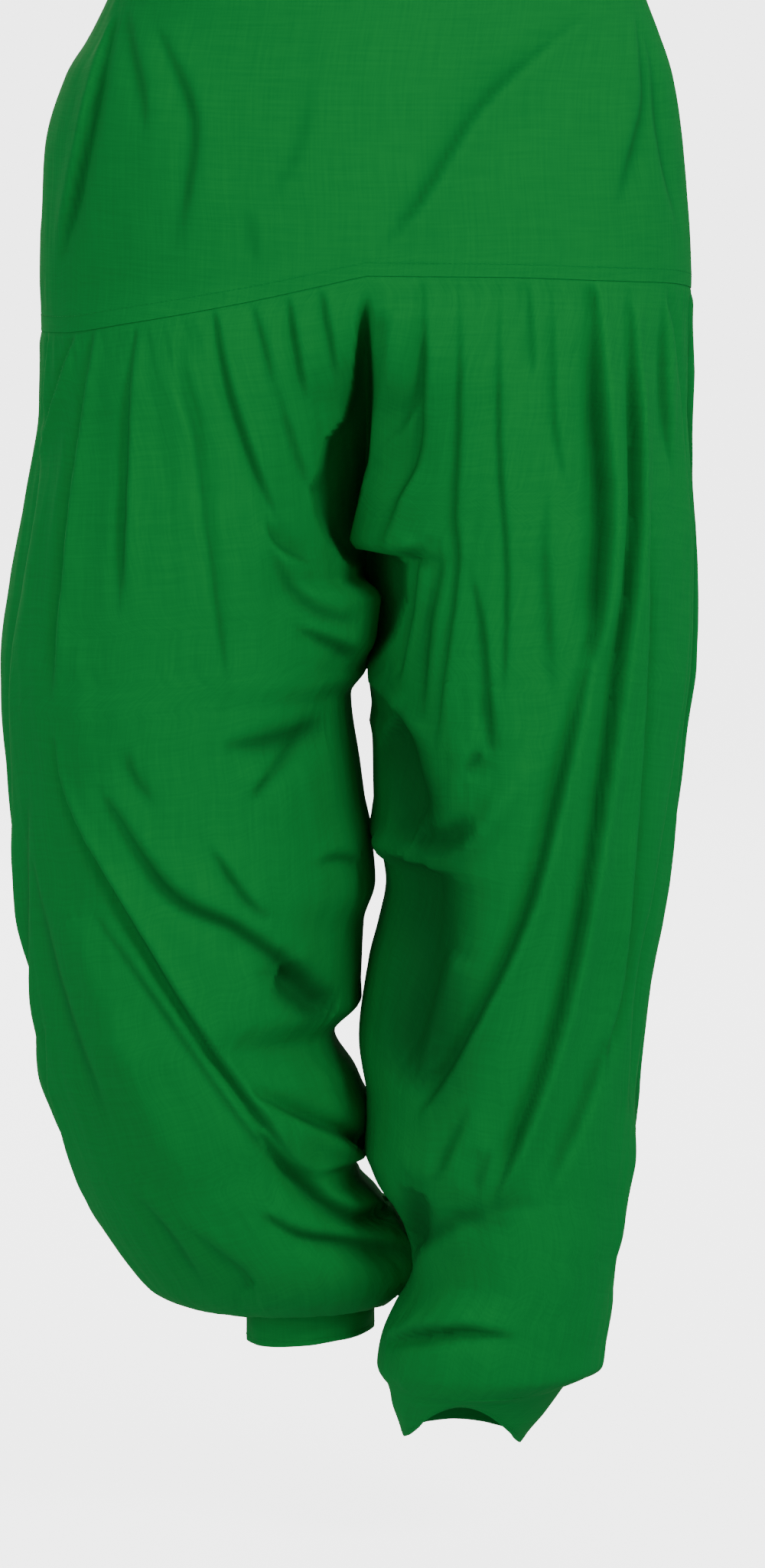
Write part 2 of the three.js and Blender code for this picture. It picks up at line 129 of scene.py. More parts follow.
# Pleats let into the yoke seam of the back panels. share: place round the half, 0.5 at the side, 1 at the
# back middle. length: how far the pleat runs down. lean: how far its foot has drifted, in shares.
Pleat = namedtuple("Pleat", "share deep length lean")
BACK_PLEATS = {
    "right": [Pleat(*row) for row in [
        (0.53, 4, 150, 0.004),
        (0.585, 7, 260, -0.012),
        (0.63, 4, 120, 0.0),
        (0.665, 6, 210, -0.016),
        (0.705, 8, 300, -0.02),
        (0.735, 3, 90, 0.004),
        (0.775, 6, 230, -0.01),
        (0.825, 8, 280, 0.012),
        (0.86, 4, 130, 0.01),
        (0.895, 6, 190, 0.02),
        (0.94, 4, 110, 0.012),
    ]],
    "left": [Pleat(*row) for row in [
        (0.52, 5, 190, -0.004),
        (0.57, 4, 120, 0.0),
        (0.605, 7, 270, -0.014),
        (0.655, 5, 160, -0.006),
        (0.69, 8, 290, -0.018),
        (0.74, 6, 220, 0.006),
        (0.775, 3, 100, 0.0),
        (0.81, 7, 260, 0.014),
        (0.855, 5, 150, 0.008),
        (0.9, 7, 210, 0.018),
        (0.95, 4, 100, 0.01),
    ]],
}

# Creases placed as they are seen from the front, the back or the wearing side.
# path: x and z where the crease is seen against the garment's middle plane, or y and z on a side face.
# wide: half width. deep: depth, negative for a ridge. lip: how sharply the cloth stands up beside the crease,
# up to FULL_LIP, on the right of a crease that runs down and above one that runs right. A negative lip stands
# on the other side, and a crease without one is a soft trough or ridge.
Fold = namedtuple("Fold", "place face wide deep lip path")
# Each row gives wide, deep, lip and path.
FRONT_FOLDS = {
    ("yoke", "front"): [
        (6, 5, -0.5, [(-156, -73), (-167, -111), (-192, -228)]),
        (8, 2, 0.5, [(-148, -70), (-137, -126), (-138, -152)]),
        (9, 2.6, 0.5, [(-129, -79), (-108, -126), (-106, -158), (-117, -221)]),
        (10, 1.2, 0.4, [(-34, -111), (-39, -152), (-57, -190)]),
        (9, 1.2, 0.4, [(-73, -190), (-65, -228)]),
        (8, 3.2, 0.6, [(139, -70), (76, -124), (35, -186), (6, -224)]),
        (9, 3.5, -0.4, [(166, -73), (169, -105), (168, -136), (152, -196)]),
    ],
    ("right", "front"): [
        (5, 3, 0.5, [(-198, -266), (-202, -329)]),
        (5, 6, 0.6, [(-181, -266), (-196, -320), (-205, -352)]),
        (5, 5, 0.6, [(-170, -266), (-180, -340), (-187, -390), (-198, -502)]),
        (5, 3.4, 0.6, [(-142, -262), (-147, -299), (-150, -370), (-154, -450)]),
        (6, 3, -0.4, [(-116, -256), (-117, -300), (-107, -344), (-87, -500)]),
        (5, 4, 0.5, [(-96, -250), (-86, -300), (-67, -358), (-50, -392)]),
        (6, 4, -0.5, [(-64, -384), (-57, -402), (-33, -415)]),
        (5, 2, 0.5, [(-72, -244), (-64, -275), (-56, -310)]),
        (5, 3, 0.5, [(-50, -240), (-41, -291), (-37, -319)]),
        (6, 2.4, 0.5, [(-57, -300), (-40, -352), (-32, -372)]),
        (5, 3, 0.4, [(-30, -234), (-22, -275), (-18, -300)]),
        (7, 4, 0.5, [(-46, -452), (-13, -471)]),
        (9, 3, 0.5, [(-61, -402), (-38, -440), (-17, -448)]),
        (14, 6, 0.35, [(-91, -526), (-67, -523), (-24, -509)]),
        (10, 3.4, 0.3, [(-64, -552), (-48, -530), (-35, -516)]),
        (7, 3, 0.4, [(-74, -562), (-60, -543)]),
        (4, 5.5, 0.6, [(-197, -520), (-189, -562), (-156, -625), (-98, -720), (-46, -790)]),
        (7, 7, -0.5, [(-76, -748), (-44, -764), (-23, -775), (-3, -792)]),
        (6, 2.2, 0.4, [(-172, -632), (-114, -716), (-73, -773), (-48, -800)]),
        (8, 8, 0.5, [(-68, -771), (-44, -798), (-12, -824), (14, -818)]),
        (9, 6, 0.4, [(-164, -560), (-123, -619), (-81, -642), (-43, -669), (-26, -686)]),
        (9, 8, 0.0, [(-54, -672), (-36, -688), (-20, -698)]),
        (7, 3.5, 0.5, [(-98, -591), (-73, -627), (-58, -635)]),
        (8, 2, 0.4, [(-151, -527), (-147, -543), (-133, -564)]),
        (6, 3, 0.4, [(-34, -602), (-19, -597), (-4, -600)]),
        (12, 3, 0.3, [(-210, -600), (-189, -690), (-161, -769)]),
        (15, -3.5, 0.0, [(-189, -634), (-131, -775), (-106, -815)]),
        (9, 7, 0.4, [(-65, -825), (-39, -838), (10, -844), (27, -854)]),
        (9, 2.5, 0.4, [(-111, -835), (-56, -879)]),
        (9, 2.5, 0.3, [(-145, -813), (-121, -842), (-102, -872)]),
        (24, -11, 0.0, [(14, -814), (24, -838), (30, -868)]),
    ],
    ("left", "front"): [
        (15, -8, 0.0, [(15, -250), (12, -315), (4, -378)]),
        (5, 2.6, 0.5, [(36, -232), (35, -298), (29, -319), (11, -347)]),
        (5, 2.6, 0.6, [(37, -270), (36, -321), (33, -347), (24, -405)]),
        (5, 3, 0.6, [(22, -409), (32, -407), (40, -401)]),
        (7, 4, 0.5, [(32, -411), (29, -440), (20, -490)]),
        (4.5, 2.2, 0.6, [(58, -232), (58, -309), (56, -381), (57, -420), (42, -540)]),
        (9, 4, 0.4, [(48, -410), (40, -454), (35, -516)]),
        (4.5, 2.2, 0.6, [(83, -232), (83, -339), (88, -420), (86, -510)]),
        (6, 2.6, 0.5, [(66, -420), (74, -461), (78, -525)]),
        (5, 2, 0.5, [(101, -232), (105, -300)]),
        (5, 2.2, 0.5, [(116, -232), (118, -324), (128, -373)]),
        (8, 2.4, 0.4, [(114, -367), (113, -411), (119, -504)]),
        (8, 8, 0.6, [(142, -238), (146, -320), (150, -390), (143, -480)]),
        (5.5, 6.5, 0.6, [(144, -455), (120, -564), (100, -638), (66, -709), (30, -768)]),
        (5.5, 6.5, 0.6, [(165, -250), (168, -379), (153, -532), (125, -695), (80, -822)]),
        (5.5, 6, -0.5, [(174, -380), (174, -497), (163, -650), (148, -740)]),
        (9, 4, 0.4, [(153, -710), (140, -754), (112, -818)]),
        (6, 4, 0.4, [(185, -248), (187, -321), (191, -360)]),
        (7, -5, 0.0, [(2, -480), (41, -529)]),
        (18, 11, 0.0, [(14, -512), (24, -556), (36, -588)]),
        (9, -6, 0.0, [(12, -591), (39, -600), (71, -584), (103, -533)]),
        (8, 5, 0.0, [(29, -584), (48, -589), (71, -576)]),
        (7, 3, 0.4, [(77, -490), (80, -534)]),
        (7, 4, 0.3, [(59, -548), (68, -530)]),
        (25, 10, 0.0, [(34, -600), (34, -650), (26, -752)]),
        (10, -5, 0.0, [(57, -659), (37, -709), (29, -743)]),
        (9, 3, 0.4, [(66, -758), (42, -809)]),
        (9, 2.5, 0.4, [(80, -783), (70, -815)]),
        (10, 2, 0.3, [(46, -823), (75, -829), (99, -822)]),
        (9, 6, 0.0, [(31, -810), (30, -832), (33, -857)]),
        (6, 6, 0.6, [(12, -906), (30, -901), (60, -899), (98, -904)]),
        (12, 4.5, -0.4, [(31, -851), (55, -835), (91, -823), (120, -820)]),
    ],
}

# The sides and the back, which follow the same habit as the front: long drapes that start at pleats, swing
# inwards down the leg and pile up above the cuff.
HIDDEN_FOLDS = {
    ("yoke", "back"): [
        (9, 3, 0.5, [(-150, -80), (-120, -140), (-96, -215)]),
        (10, 2.2, -0.4, [(-60, -95), (-72, -150), (-66, -205)]),
        (9, 3, 0.4, [(146, -84), (112, -150), (60, -190), (24, -228)]),
        (11, 2, 0.4, [(84, -100), (92, -160), (80, -215)]),
        (12, 2.4, 0.3, [(-52, -232), (0, -222), (48, -233)]),
    ],
    ("right", "back"): [
        (8, 8, 0.5, [(-150, -380), (-165, -500), (-148, -620), (-96, -720), (-40, -770)]),
        (7, 6, 0.5, [(-178, -470), (-188, -590), (-160, -700), (-110, -780)]),
        (7, 7, -0.4, [(-92, -400), (-108, -490), (-92, -580), (-44, -640)]),
        (9, 7, 0.5, [(-128, -560), (-98, -630), (-54, -668), (-16, -684)]),
        (8, 5, 0.4, [(-54, -420), (-44, -480), (-18, -520)]),
        (8, 8, 0.4, [(-118, -690), (-70, -745), (-22, -772)]),
        (7, 5, 0.5, [(-196, -600), (-176, -700), (-128, -790), (-90, -826)]),
        (10, 6, 0.4, [(-120, -800), (-70, -834), (-14, -842)]),
        (9, 3, 0.4, [(-140, -830), (-96, -868)]),
    ],
    ("left", "back"): [
        (8, 9, 0.5, [(150, -390), (160, -500), (138, -610), (88, -705), (34, -752)]),
        (7, 7, -0.4, [(96, -380), (104, -480), (86, -570), (40, -640)]),
        (7, 6, 0.5, [(176, -500), (172, -610), (140, -712), (96, -790)]),
        (9, 6, 0.4, [(122, -560), (92, -626), (48, -660), (14, -668)]),
        (8, 5, -0.4, [(58, -410), (46, -470), (16, -512)]),
        (8, 7, 0.4, [(124, -700), (88, -760), (44, -796)]),
        (8, 5, 0.4, [(152, -720), (134, -790), (96, -850)]),
        (8, 6, 0.4, [(30, -880), (70, -872), (126, -884)]),
        (8, 3.5, 0.4, [(48, -900), (88, -910), (118, -906)]),
    ],
    ("yoke", "right_side"): [
        (11, 2.2, 0.3, [(0, -92), (10, -150), (2, -205)]),
        (10, 2.4, -0.4, [(46, -90), (58, -160), (50, -232)]),
    ],
    ("yoke", "left_side"): [
        (9, 3, -0.4, [(-34, -84), (-44, -150), (-30, -210)]),
        (10, 2.4, 0.4, [(50, -92), (44, -160), (62, -220)]),
    ],
    ("right", "right_side"): [
        (11, 5, 0.3, [(-34, -330), (-46, -400), (-34, -520), (4, -660)]),
        (12, 5.5, 0.3, [(10, -262), (2, -360), (14, -480), (6, -600), (-20, -720)]),
        (11, 6, -0.3, [(52, -262), (60, -400), (48, -540), (60, -680), (84, -790)]),
        (12, 4.5, 0.3, [(-60, -560), (-30, -660), (24, -750), (70, -820)]),
        (8, 5, 0.4, [(-44, -700), (-4, -780), (50, -850)]),
    ],
    ("left", "left_side"): [
        (10, 5.5, -0.35, [(-46, -244), (-40, -370), (-52, -500), (-66, -640), (-50, -760)]),
        (12, 6, 0.3, [(4, -244), (12, -360), (-4, -500), (-2, -640), (-24, -790)]),
        (11, 5.5, 0.35, [(54, -246), (48, -370), (60, -510), (44, -650), (20, -780)]),
        (9, 5, -0.4, [(-30, -560), (-14, -690), (-28, -820), (-40, -880)]),
        (8, 5, 0.4, [(30, -700), (12, -800), (-10, -880)]),
    ],
}

FOLDS = [
    Fold(*group, *row)
    for table in (FRONT_FOLDS, HIDDEN_FOLDS) for group, rows in table.items() for row in rows
]
# Lip of the sharpest crease, and the narrowest step that the cloth mesh can carry.
FULL_LIP = 0.6
FINEST_STEP = 2.2
# A crease is 63 % as dark as it can get where its shaded line lies this deep.
SHADE_DEPTH = 6.2
# Distance between the places at which a crease is laid, and how far off the seen form they may be.
FOLD_STEP = 3.0
FOLD_MISS = 7.0

# Cuffs at their top edge and hem. lift: how much higher the front stands than the sides.
# tilt: rise towards the inner side.
CuffLevel = namedtuple("CuffLevel", "z out inn front back lift tilt")
CUFFS = {
    "right": (CuffLevel(-872.8, 79.6, -7.6, 0.4, 92.6, 0, 0), CuffLevel(-915, 77, -4, 2, 90, 0, 9)),
    "left": (CuffLevel(-930.2, 125.6, 12.4, -75.6, 49.6, 0, 0), CuffLevel(-969, 97, 23, -66, 44, 31, 4)),
}

# Where the front drape of each leg turns back beside the middle, as rows of z and reach. reach: how far from
# the middle plane, on the leg's own side, the drape ends and a deep recess begins. It is negative where the
# drape hangs over the middle.
DRAPE_EDGES = {
    "right": [
        (-236, 1), (-252, 5), (-300, 9), (-318, 14), (-331, 25), (-349, 29), (-362, 34), (-378, 31),
        (-392, 25), (-404, 16), (-415, 2), (-430, -9), (-455, -6), (-476, 0),
    ],
    "left": [
        (-236, 1), (-252, 3), (-314, 2), (-345, -1), (-364, -4), (-380, -8), (-393, -11), (-399, -8),
        (-403, 19), (-408, 25), (-428, 25), (-450, 18), (-466, 8), (-476, 0),
    ],
}
# How far the inner edges of the legs swell towards each other below the crotch, as rows of z and swell.
INNER_SWELLS = {
    "right": [
        (-560, 0), (-579, 2), (-590, 1.5), (-640, 1), (-676, 0.5), (-690, 2), (-705, 3.5), (-744, 3),
        (-754, 4), (-764, 3.5), (-774, 7), (-787, 8.5), (-792, 0), (-796, -2), (-805, -4), (-813, 0),
        (-832, 2), (-842, 4), (-852, 5), (-862, 3), (-872, 0),
    ],
    "left": [
        (-500, 0), (-511, 2.5), (-521, 1), (-560, 1), (-570, 3), (-579, 6), (-588, 3), (-596, 0), (-640, 1),
        (-686, 1), (-744, 2), (-754, 3.5), (-764, 4), (-774, 5), (-784, 6), (-793, 4), (-803, 3), (-815, 0),
        (-832, 2), (-842, 4), (-852, 5), (-862, 3), (-872, 0),
    ],
}
# How far back the recess lies, and within what distance of the drape's edge the cloth turns into it.
RECESS_DEEP = 42.0
RECESS_TURN = 1.8
# The recess's wall takes this share of the leg's girth at the yoke seam, and further down.
WALL_TOP, DRAPE_WALL = 0.007, 0.03
# How far the left leg laps over the right one at the middle.
MIDDLE_LAP = 1.0

# Side seams with the painted shade in their groove, the stitch row of the casing, and how far a thread stands
# off the cloth.
SIDE_SEAM_WIDE, SIDE_SEAM_DEEP, SIDE_SEAM_SHADE = 2.2, 0.9, 0.5
CASING_STITCH_Z = -31.5
THREAD_LIFT = 0.1

YOKE_COLUMNS, YOKE_ROWS = 96, 76
CASING_COLUMNS, CASING_ROWS = 420, 18
CUFF_COLUMNS, CUFF_ROWS = 180, 26

# How the garment was seen, for placing the front creases and the camera.
VIEW_DISTANCE = 4000.0
VIEW_AIM = np.array([9.6, 0.0, -552.0])
VIEW_HEIGHT_Z = -100.0
VIEW_BACK = math.sqrt(VIEW_DISTANCE ** 2 - (VIEW_HEIGHT_Z - VIEW_AIM[2]) ** 2)
VIEW_EYE = np.array([VIEW_AIM[0], -VIEW_BACK, VIEW_HEIGHT_Z])
VIEW_TALL = 983.5
SENSOR = 36.0


def smooth_curve(at, value):
    """Smooth curve through table values that never overshoots between two rows."""
    at, value = np.asarray(at, float), np.asarray(value, float)
    slope = np.diff(value) / np.diff(at)
    product = slope[:-1] * slope[1:]
    same_way = product > 0
    total = np.where(same_way, slope[:-1] + slope[1:], 1.0)
    middle = np.where(same_way, 2 * product / total, 0.0)
    tangent = np.concatenate([slope[:1], middle, slope[-1:]])

    def curve(x):
        i = np.clip(np.searchsorted(at, x) - 1, 0, len(at) - 2)
        width = at[i + 1] - at[i]
        t = np.clip((x - at[i]) / width, 0, 1)
        t2, t3 = t * t, t * t * t
        return (
            (2 * t3 - 3 * t2 + 1) * value[i]
            + (t3 - 2 * t2 + t) * width * tangent[i]
            + (3 * t2 - 2 * t3) * value[i + 1]
            + (t3 - t2) * width * tangent[i + 1]
        )

    return curve


def smooth_step(low, high, x):
    """Rises from 0 at low to 1 at high, or falls if low is above high."""
    t = np.clip((x - low) / (high - low), 0, 1)
    return t * t * (3 - 2 * t)


def unit(vectors):
    return vectors / np.maximum(np.linalg.norm(vectors, axis=-1, keepdims=True), 1e-9)


class Half:
    """One side of the garment. down is the length of cloth from the waist, and share runs from 0 at the
    front middle by the side to 1 at the back middle."""

    def __init__(self, side):
        self.side = side
        self.sign = 1.0 if side == "left" else -1.0
        rings = RINGS[side]
        steps = [math.hypot(b.z - a.z, b.out - a.out) for a, b in zip(rings, rings[1:])]
        self.down = np.concatenate([[0.0], np.cumsum(steps)])
        self.z, self.out, self.inn, self.front, self.back = (
            smooth_curve(self.down, [getattr(ring, name) for ring in rings]) for name in Ring._fields
        )
        self.hem_down = self.down[-1]
        self.crotch_down = self.down[[ring.z for ring in rings].index(CROTCH_Z)]
        falling = np.linspace(0, self.down[-2], 4000)
        self._fall = (-self.z(falling), falling)
        seam = YOKE_SEAM[side]
        self.seam_z = smooth_curve(np.linspace(0, 1, len(seam)), seam)

    def down_at(self, z):
        return np.interp(-np.asarray(z, float), *self._fall)

    def seam_down(self, share):
        return self.down_at(self.seam_z(share))

    def form(self, share, down):
        out, inn, front, back = self.out(down), self.inn(down), self.front(down), self.back(down)
        centre, reach = (out + inn) / 2, (out - inn) / 2
        cosine = np.clip((centre - SEAM_GAP / 2) / reach, -1, 1)
        open_angle = np.where(down >= self.crotch_down, 0.0, np.arccos(cosine))
        angle = open_angle + share * 2 * (math.pi - open_angle)
        x = self.sign * (centre - reach * np.cos(angle))
        y = (front + back) / 2 - (back - front) / 2 * np.sin(angle)
        return np.stack([x, y, self.z(down)], axis=-1)

    def normal(self, share, down):
        before, after = np.maximum(share - 0.002, 0), np.minimum(share + 0.002, 1)
        along = self.form(after, down) - self.form(before, down)
        below = self.form(share, down + 1) - self.form(share, down - 1)
        return unit(self.sign * np.cross(below, along))

    def girth(self, down):
        reach, depth = (self.out(down) - self.inn(down)) / 2, (self.back(down) - self.front(down)) / 2
        whole = 2 * math.pi * np.sqrt((reach ** 2 + depth ** 2) / 2)
        return np.where(self.z(down) > HIP_Z, whole / 2, whole)


HALVES = {side: Half(side) for side in ("right", "left")}


def seen_from_front(points):
    """Where points are seen against the garment's middle plane."""
    t = -VIEW_EYE[1] / (points[..., 1] - VIEW_EYE[1])
    seen = VIEW_EYE + (points - VIEW_EYE) * t[..., None]
    return seen[..., [0, 2]]


FACE_VIEWS = {
    "front": seen_from_front,
    "back": lambda points: points[..., [0, 2]],
    "right_side": lambda points: points[..., [1, 2]],
    "left_side": lambda points: points[..., [1, 2]],
}
FACE_SHARES = {"front": (0.0, 0.5), "back": (0.5, 1.0), "right_side": (0.25, 0.75), "left_side": (0.25, 0.75)}
FACE_SIDES = {"right_side": ("right",), "left_side": ("left",)}


@lru_cache(maxsize=None)
def fold_surface(place, face):
    """Points and normals of the form that can carry a crease, with where they are seen."""
    low, high = FACE_SHARES[face]
    sides = (place,) if place != "yoke" else FACE_SIDES.get(face, ("right", "left"))
    top_z, foot_z = (-40, -275) if place == "yoke" else (-222, None)
    points, normals = [], []
    for side in sides:
        half = HALVES[side]
        foot = half.hem_down if foot_z is None else half.down_at(foot_z)
        downs = np.arange(half.down_at(top_z), foot, FOLD_STEP)
        share, down = np.meshgrid(np.linspace(low + 0.001, high - 0.001, 130), downs)
        points.append(half.form(share, down).reshape(-1, 3))
        normals.append(half.normal(share, down).reshape(-1, 3))
    points, normals = np.concatenate(points), np.concatenate(normals)
    return points, normals, FACE_VIEWS[face](points)


@lru_cache(maxsize=None)
def laid_fold(index):
    """A crease laid on the form: points along it, sideways directions, strength of its height and of its
    shade, and how broad it is. None if it doesn't meet the form."""
    fold = FOLDS[index]
    points, normals, seen = fold_surface(fold.place, fold.face)
    at, facing = [], []
    for spot in dense_path(fold.path, FOLD_STEP):
        gap = np.sum((seen - spot) ** 2, axis=1)
        near = np.argpartition(gap, 4)[:4]
        if gap[near].min() > FOLD_MISS ** 2:
            continue
        weight = 1 / (gap[near] + 0.3)
        weight /= weight.sum()
        at.append(weight @ points[near])
        facing.append(weight @ normals[near])
    if len(at) < 4:
        return None
    at, facing = soften(np.array(at), 2), unit(soften(np.array(facing), 2))
    along = unit(np.gradient(at, axis=0))
    run = np.concatenate([[0], np.cumsum(np.linalg.norm(np.diff(at, axis=0), axis=1))])
    start, stop = min(0.4 * run[-1], 90), min(0.36 * run[-1], 48)
    opening = smooth_step(0, start, run) if fold.lip else 1.0
    ends = smooth_step(-4, 10, run) * smooth_step(-4, stop, run[-1] - run) * (0.45 + 0.55 * opening)
    broad = np.ones(len(run)) * (0.6 + 0.4 * opening)
    return at, unit(np.cross(facing, along)), ends, ends * (0.5 + 0.5 * opening), broad


def fold_height(fold, laid, points):
    """How far a crease moves the cloth out and how deep its shaded line is, for every point."""
    at, sideways, ends, dark, broad = laid
    reach = 3.4 * fold.wide
    low, high = at.min(axis=0) - reach, at.max(axis=0) + reach
    near = np.flatnonzero(np.all((points > low) & (points < high), axis=1))
    height, line = np.zeros(len(points)), np.zeros(len(points))
    for part in np.array_split(near, len(near) // 20000 + 1):
        if not len(part):
            continue
        step = points[part][:, None, :] - at[None, :, :]
        gap = np.sum(step ** 2, axis=2)
        nearest = np.argmin(gap, axis=1)
        rows = np.arange(len(part))
        side = np.sum(step[rows, nearest] * sideways[nearest], axis=1)
        distance = np.sqrt(gap[rows, nearest])
        past_end = distance > 1.35 * np.abs(side) + 3
        side = np.where(past_end, np.where(side < 0, -distance, distance), side)
        wide = fold.wide * broad[nearest]
        height[part] = ends[nearest] * crease_profile(side, wide, fold.deep, fold.lip)
        line[part] = dark[nearest] * crease_line(side, wide, fold.deep, fold.lip)
    return height, line


def dense_path(path, step):
    """Rounded path through a few places."""
    path = np.array(path, float)
    marks = np.array([2 * path[0] - path[1], *path, 2 * path[-1] - path[-2]])
    out = []
    for a, b, c, d in zip(marks, marks[1:], marks[2:], marks[3:]):
        count = max(int(np.linalg.norm(c - b) / step), 1)
        for t in np.arange(count) / count:
            out.append(0.5 * (2 * b + (c - a) * t + (2 * a - 5 * b + 4 * c - d) * t ** 2
                              + (3 * b - a - 3 * c + d) * t ** 3))
    out.append(marks[-2])
    return np.array(out)


def soften(values, passes):
    for _ in range(passes):
        values = values.copy()
        values[1:-1] = (values[:-2] + 2 * values[1:-1] + values[2:]) / 4
    return values


def crease_profile(side, wide, deep, lip):
    """Cross-section of a crease over the sideways distance. A crease with a lip steps up towards it, the more
    sharply the higher the lip, and runs out slowly on both sides."""
    t = side / wide
    if deep < 0 or lip == 0:
        return -deep * np.exp(-t * t)
    t = t if lip > 0 else -t
    crisp = abs(lip) / FULL_LIP
    step = 0.5 + 0.5 * np.tanh(t / np.maximum(0.85 - 0.55 * crisp, FINEST_STEP / wide))
    lift = 0.8 * crisp * np.exp(-(t / 2.1) ** 2)
    sink = np.exp(-(t / 1.5) ** 2)
    return deep * (step * lift - (1 - step) * sink)


def crease_line(side, wide, deep, lip):
    """How much of its depth a crease hides from the light, at the foot of its step or in its trough."""
    t = side / wide
    if deep < 0:
        return np.zeros(np.shape(t))
    if lip == 0:
        return 1.6 * deep * np.exp(-(t / 1.15) ** 2)
    t = t if lip > 0 else -t
    return deep * np.exp(-((t + 0.2) / np.where(t < -0.2, 0.5, 0.3)) ** 2)


def pleat_height(half, share, below):
    """Knife pleats let into the back of the yoke seam: height and shaded line."""
    width = float(half.girth(half.seam_down(0.5)))
    height, line = np.zeros(share.shape), np.zeros(share.shape)
    for pleat in BACK_PLEATS[half.side]:
        run = np.clip(below / pleat.length, 0, 1)
        away = (share - pleat.share - pleat.lean * run) * width
        spread = 4.2 + 5.0 * run
        fade = 1 - smooth_step(0.35, 1, run)
        height += fade * crease_profile(-away, spread, 0.9 * pleat.deep, 0.55)
        line += fade * crease_line(-away, spread, 0.9 * pleat.deep, 0.55)
    return height, line


def noise_field(u, v, w):
    """Soft noise over a grid of places, from -1 to 1."""
    places = np.broadcast(u, v, w)
    values = np.fromiter((noise.noise(Vector(place)) for place in places), float, places.size)
    return values.reshape(places.shape)


def crease_height(place, points, depth):
    """Height that the listed creases of one place add at every point, and their shaded lines' depth."""
    spots = points.reshape(-1, 3)
    height, line = np.zeros(len(spots)), np.zeros(len(spots))
    for index, fold in enumerate(FOLDS):
        laid = laid_fold(index) if fold.place == place else None
        if laid is not None:
            lifted, shaded = fold_height(fold, laid, spots)
            height += depth * lifted
            line += depth * shaded
    return height.reshape(points.shape[:-1]), line.reshape(points.shape[:-1])


def crease_shade(line):
    """How dark a crease is, from 0 to 1, for how deep its shaded line lies."""
    return 1 - np.exp(-np.maximum(line, 0) / SHADE_DEPTH)


def cloth_height(half, share, down, points, settings):
    """How far the cloth stands off the smooth form, in millimetres, and its crease shade."""
    wrinkle, pucker = settings.wrinkle / MM, settings.pucker / MM
    below = down - half.seam_down(share)
    on_leg = below > 0
    width = float(half.girth(half.seam_down(0.5)))
    height, line = crease_height(half.side if below.max() > 60 else "yoke", points, settings.crease_depth)
    middle = smooth_step(0, 0.03, np.minimum(share, 1 - share))
    loose = smooth_step(half.crotch_down - 4, half.crotch_down + 50, down)
    height *= np.where(on_leg, middle + (1 - middle) * loose, 1.0)
    held = np.where(on_leg, middle, 1.0)
    lifted, shaded = pleat_height(half, share, np.maximum(below, 0))
    height += held * np.where(on_leg, lifted, 0.0)
    line += held * np.where(on_leg, shaded, 0.0)

    u = share * width
    strand = noise_field(u / 17, down / 85, 3.1 + half.sign)
    strand = strand + 0.5 * noise_field(u / 8, down / 40, 7.7 + half.sign)
    rough = noise_field(u / 21, down / 23, 12.3 + half.sign)
    narrow = np.clip(half.girth(down) / width, 0.3, 1)
    height += held * wrinkle * narrow * (np.where(on_leg, 1.0, 0.45) * strand + 0.35 * rough)
    tucks = noise_field(u / 6.5, down / 60, 21.0 + half.sign)
    height += held * np.where(on_leg, pucker * tucks * np.exp(-np.maximum(below, 0) / 16), 0.0)
    gathers = noise_field(share * 26, down / 90, 33.0 + half.sign)
    height += held * 2.0 * pucker * gathers * np.exp(-np.maximum(half.hem_down - down, 0) / 30)

    height *= np.where(on_leg, smooth_step(0, 10, below), smooth_step(0, 16, -below))
    height *= smooth_step(0, 9, half.hem_down - down)
    beside = np.exp(-((share - 0.5) / 0.07) ** 2)
    height = np.where(on_leg, np.minimum(height, 0.6 + below / 22 + 30 * (1 - beside)), height)
    return height, np.where(on_leg, smooth_step(0, 6, below), 1.0) * crease_shade(line)


def outward(points, ring=False):
    """Outward directions of a grid of outer points. A ring's last column joins its first."""
    wrapped = np.concatenate([points[:, -1:], points, points[:, :1]], axis=1) if ring else points
    across = np.gradient(wrapped, axis=1)
    across = across[:, 1:-1] if ring else across
    return unit(np.cross(np.gradient(points, axis=0), across))


def travelled(points, axis):
    """Distance along a grid of points, from its first row or column."""
    steps = np.linalg.norm(np.diff(points, axis=axis), axis=2)
    return np.cumsum(np.insert(steps, 0, 0, axis=axis), axis=axis)


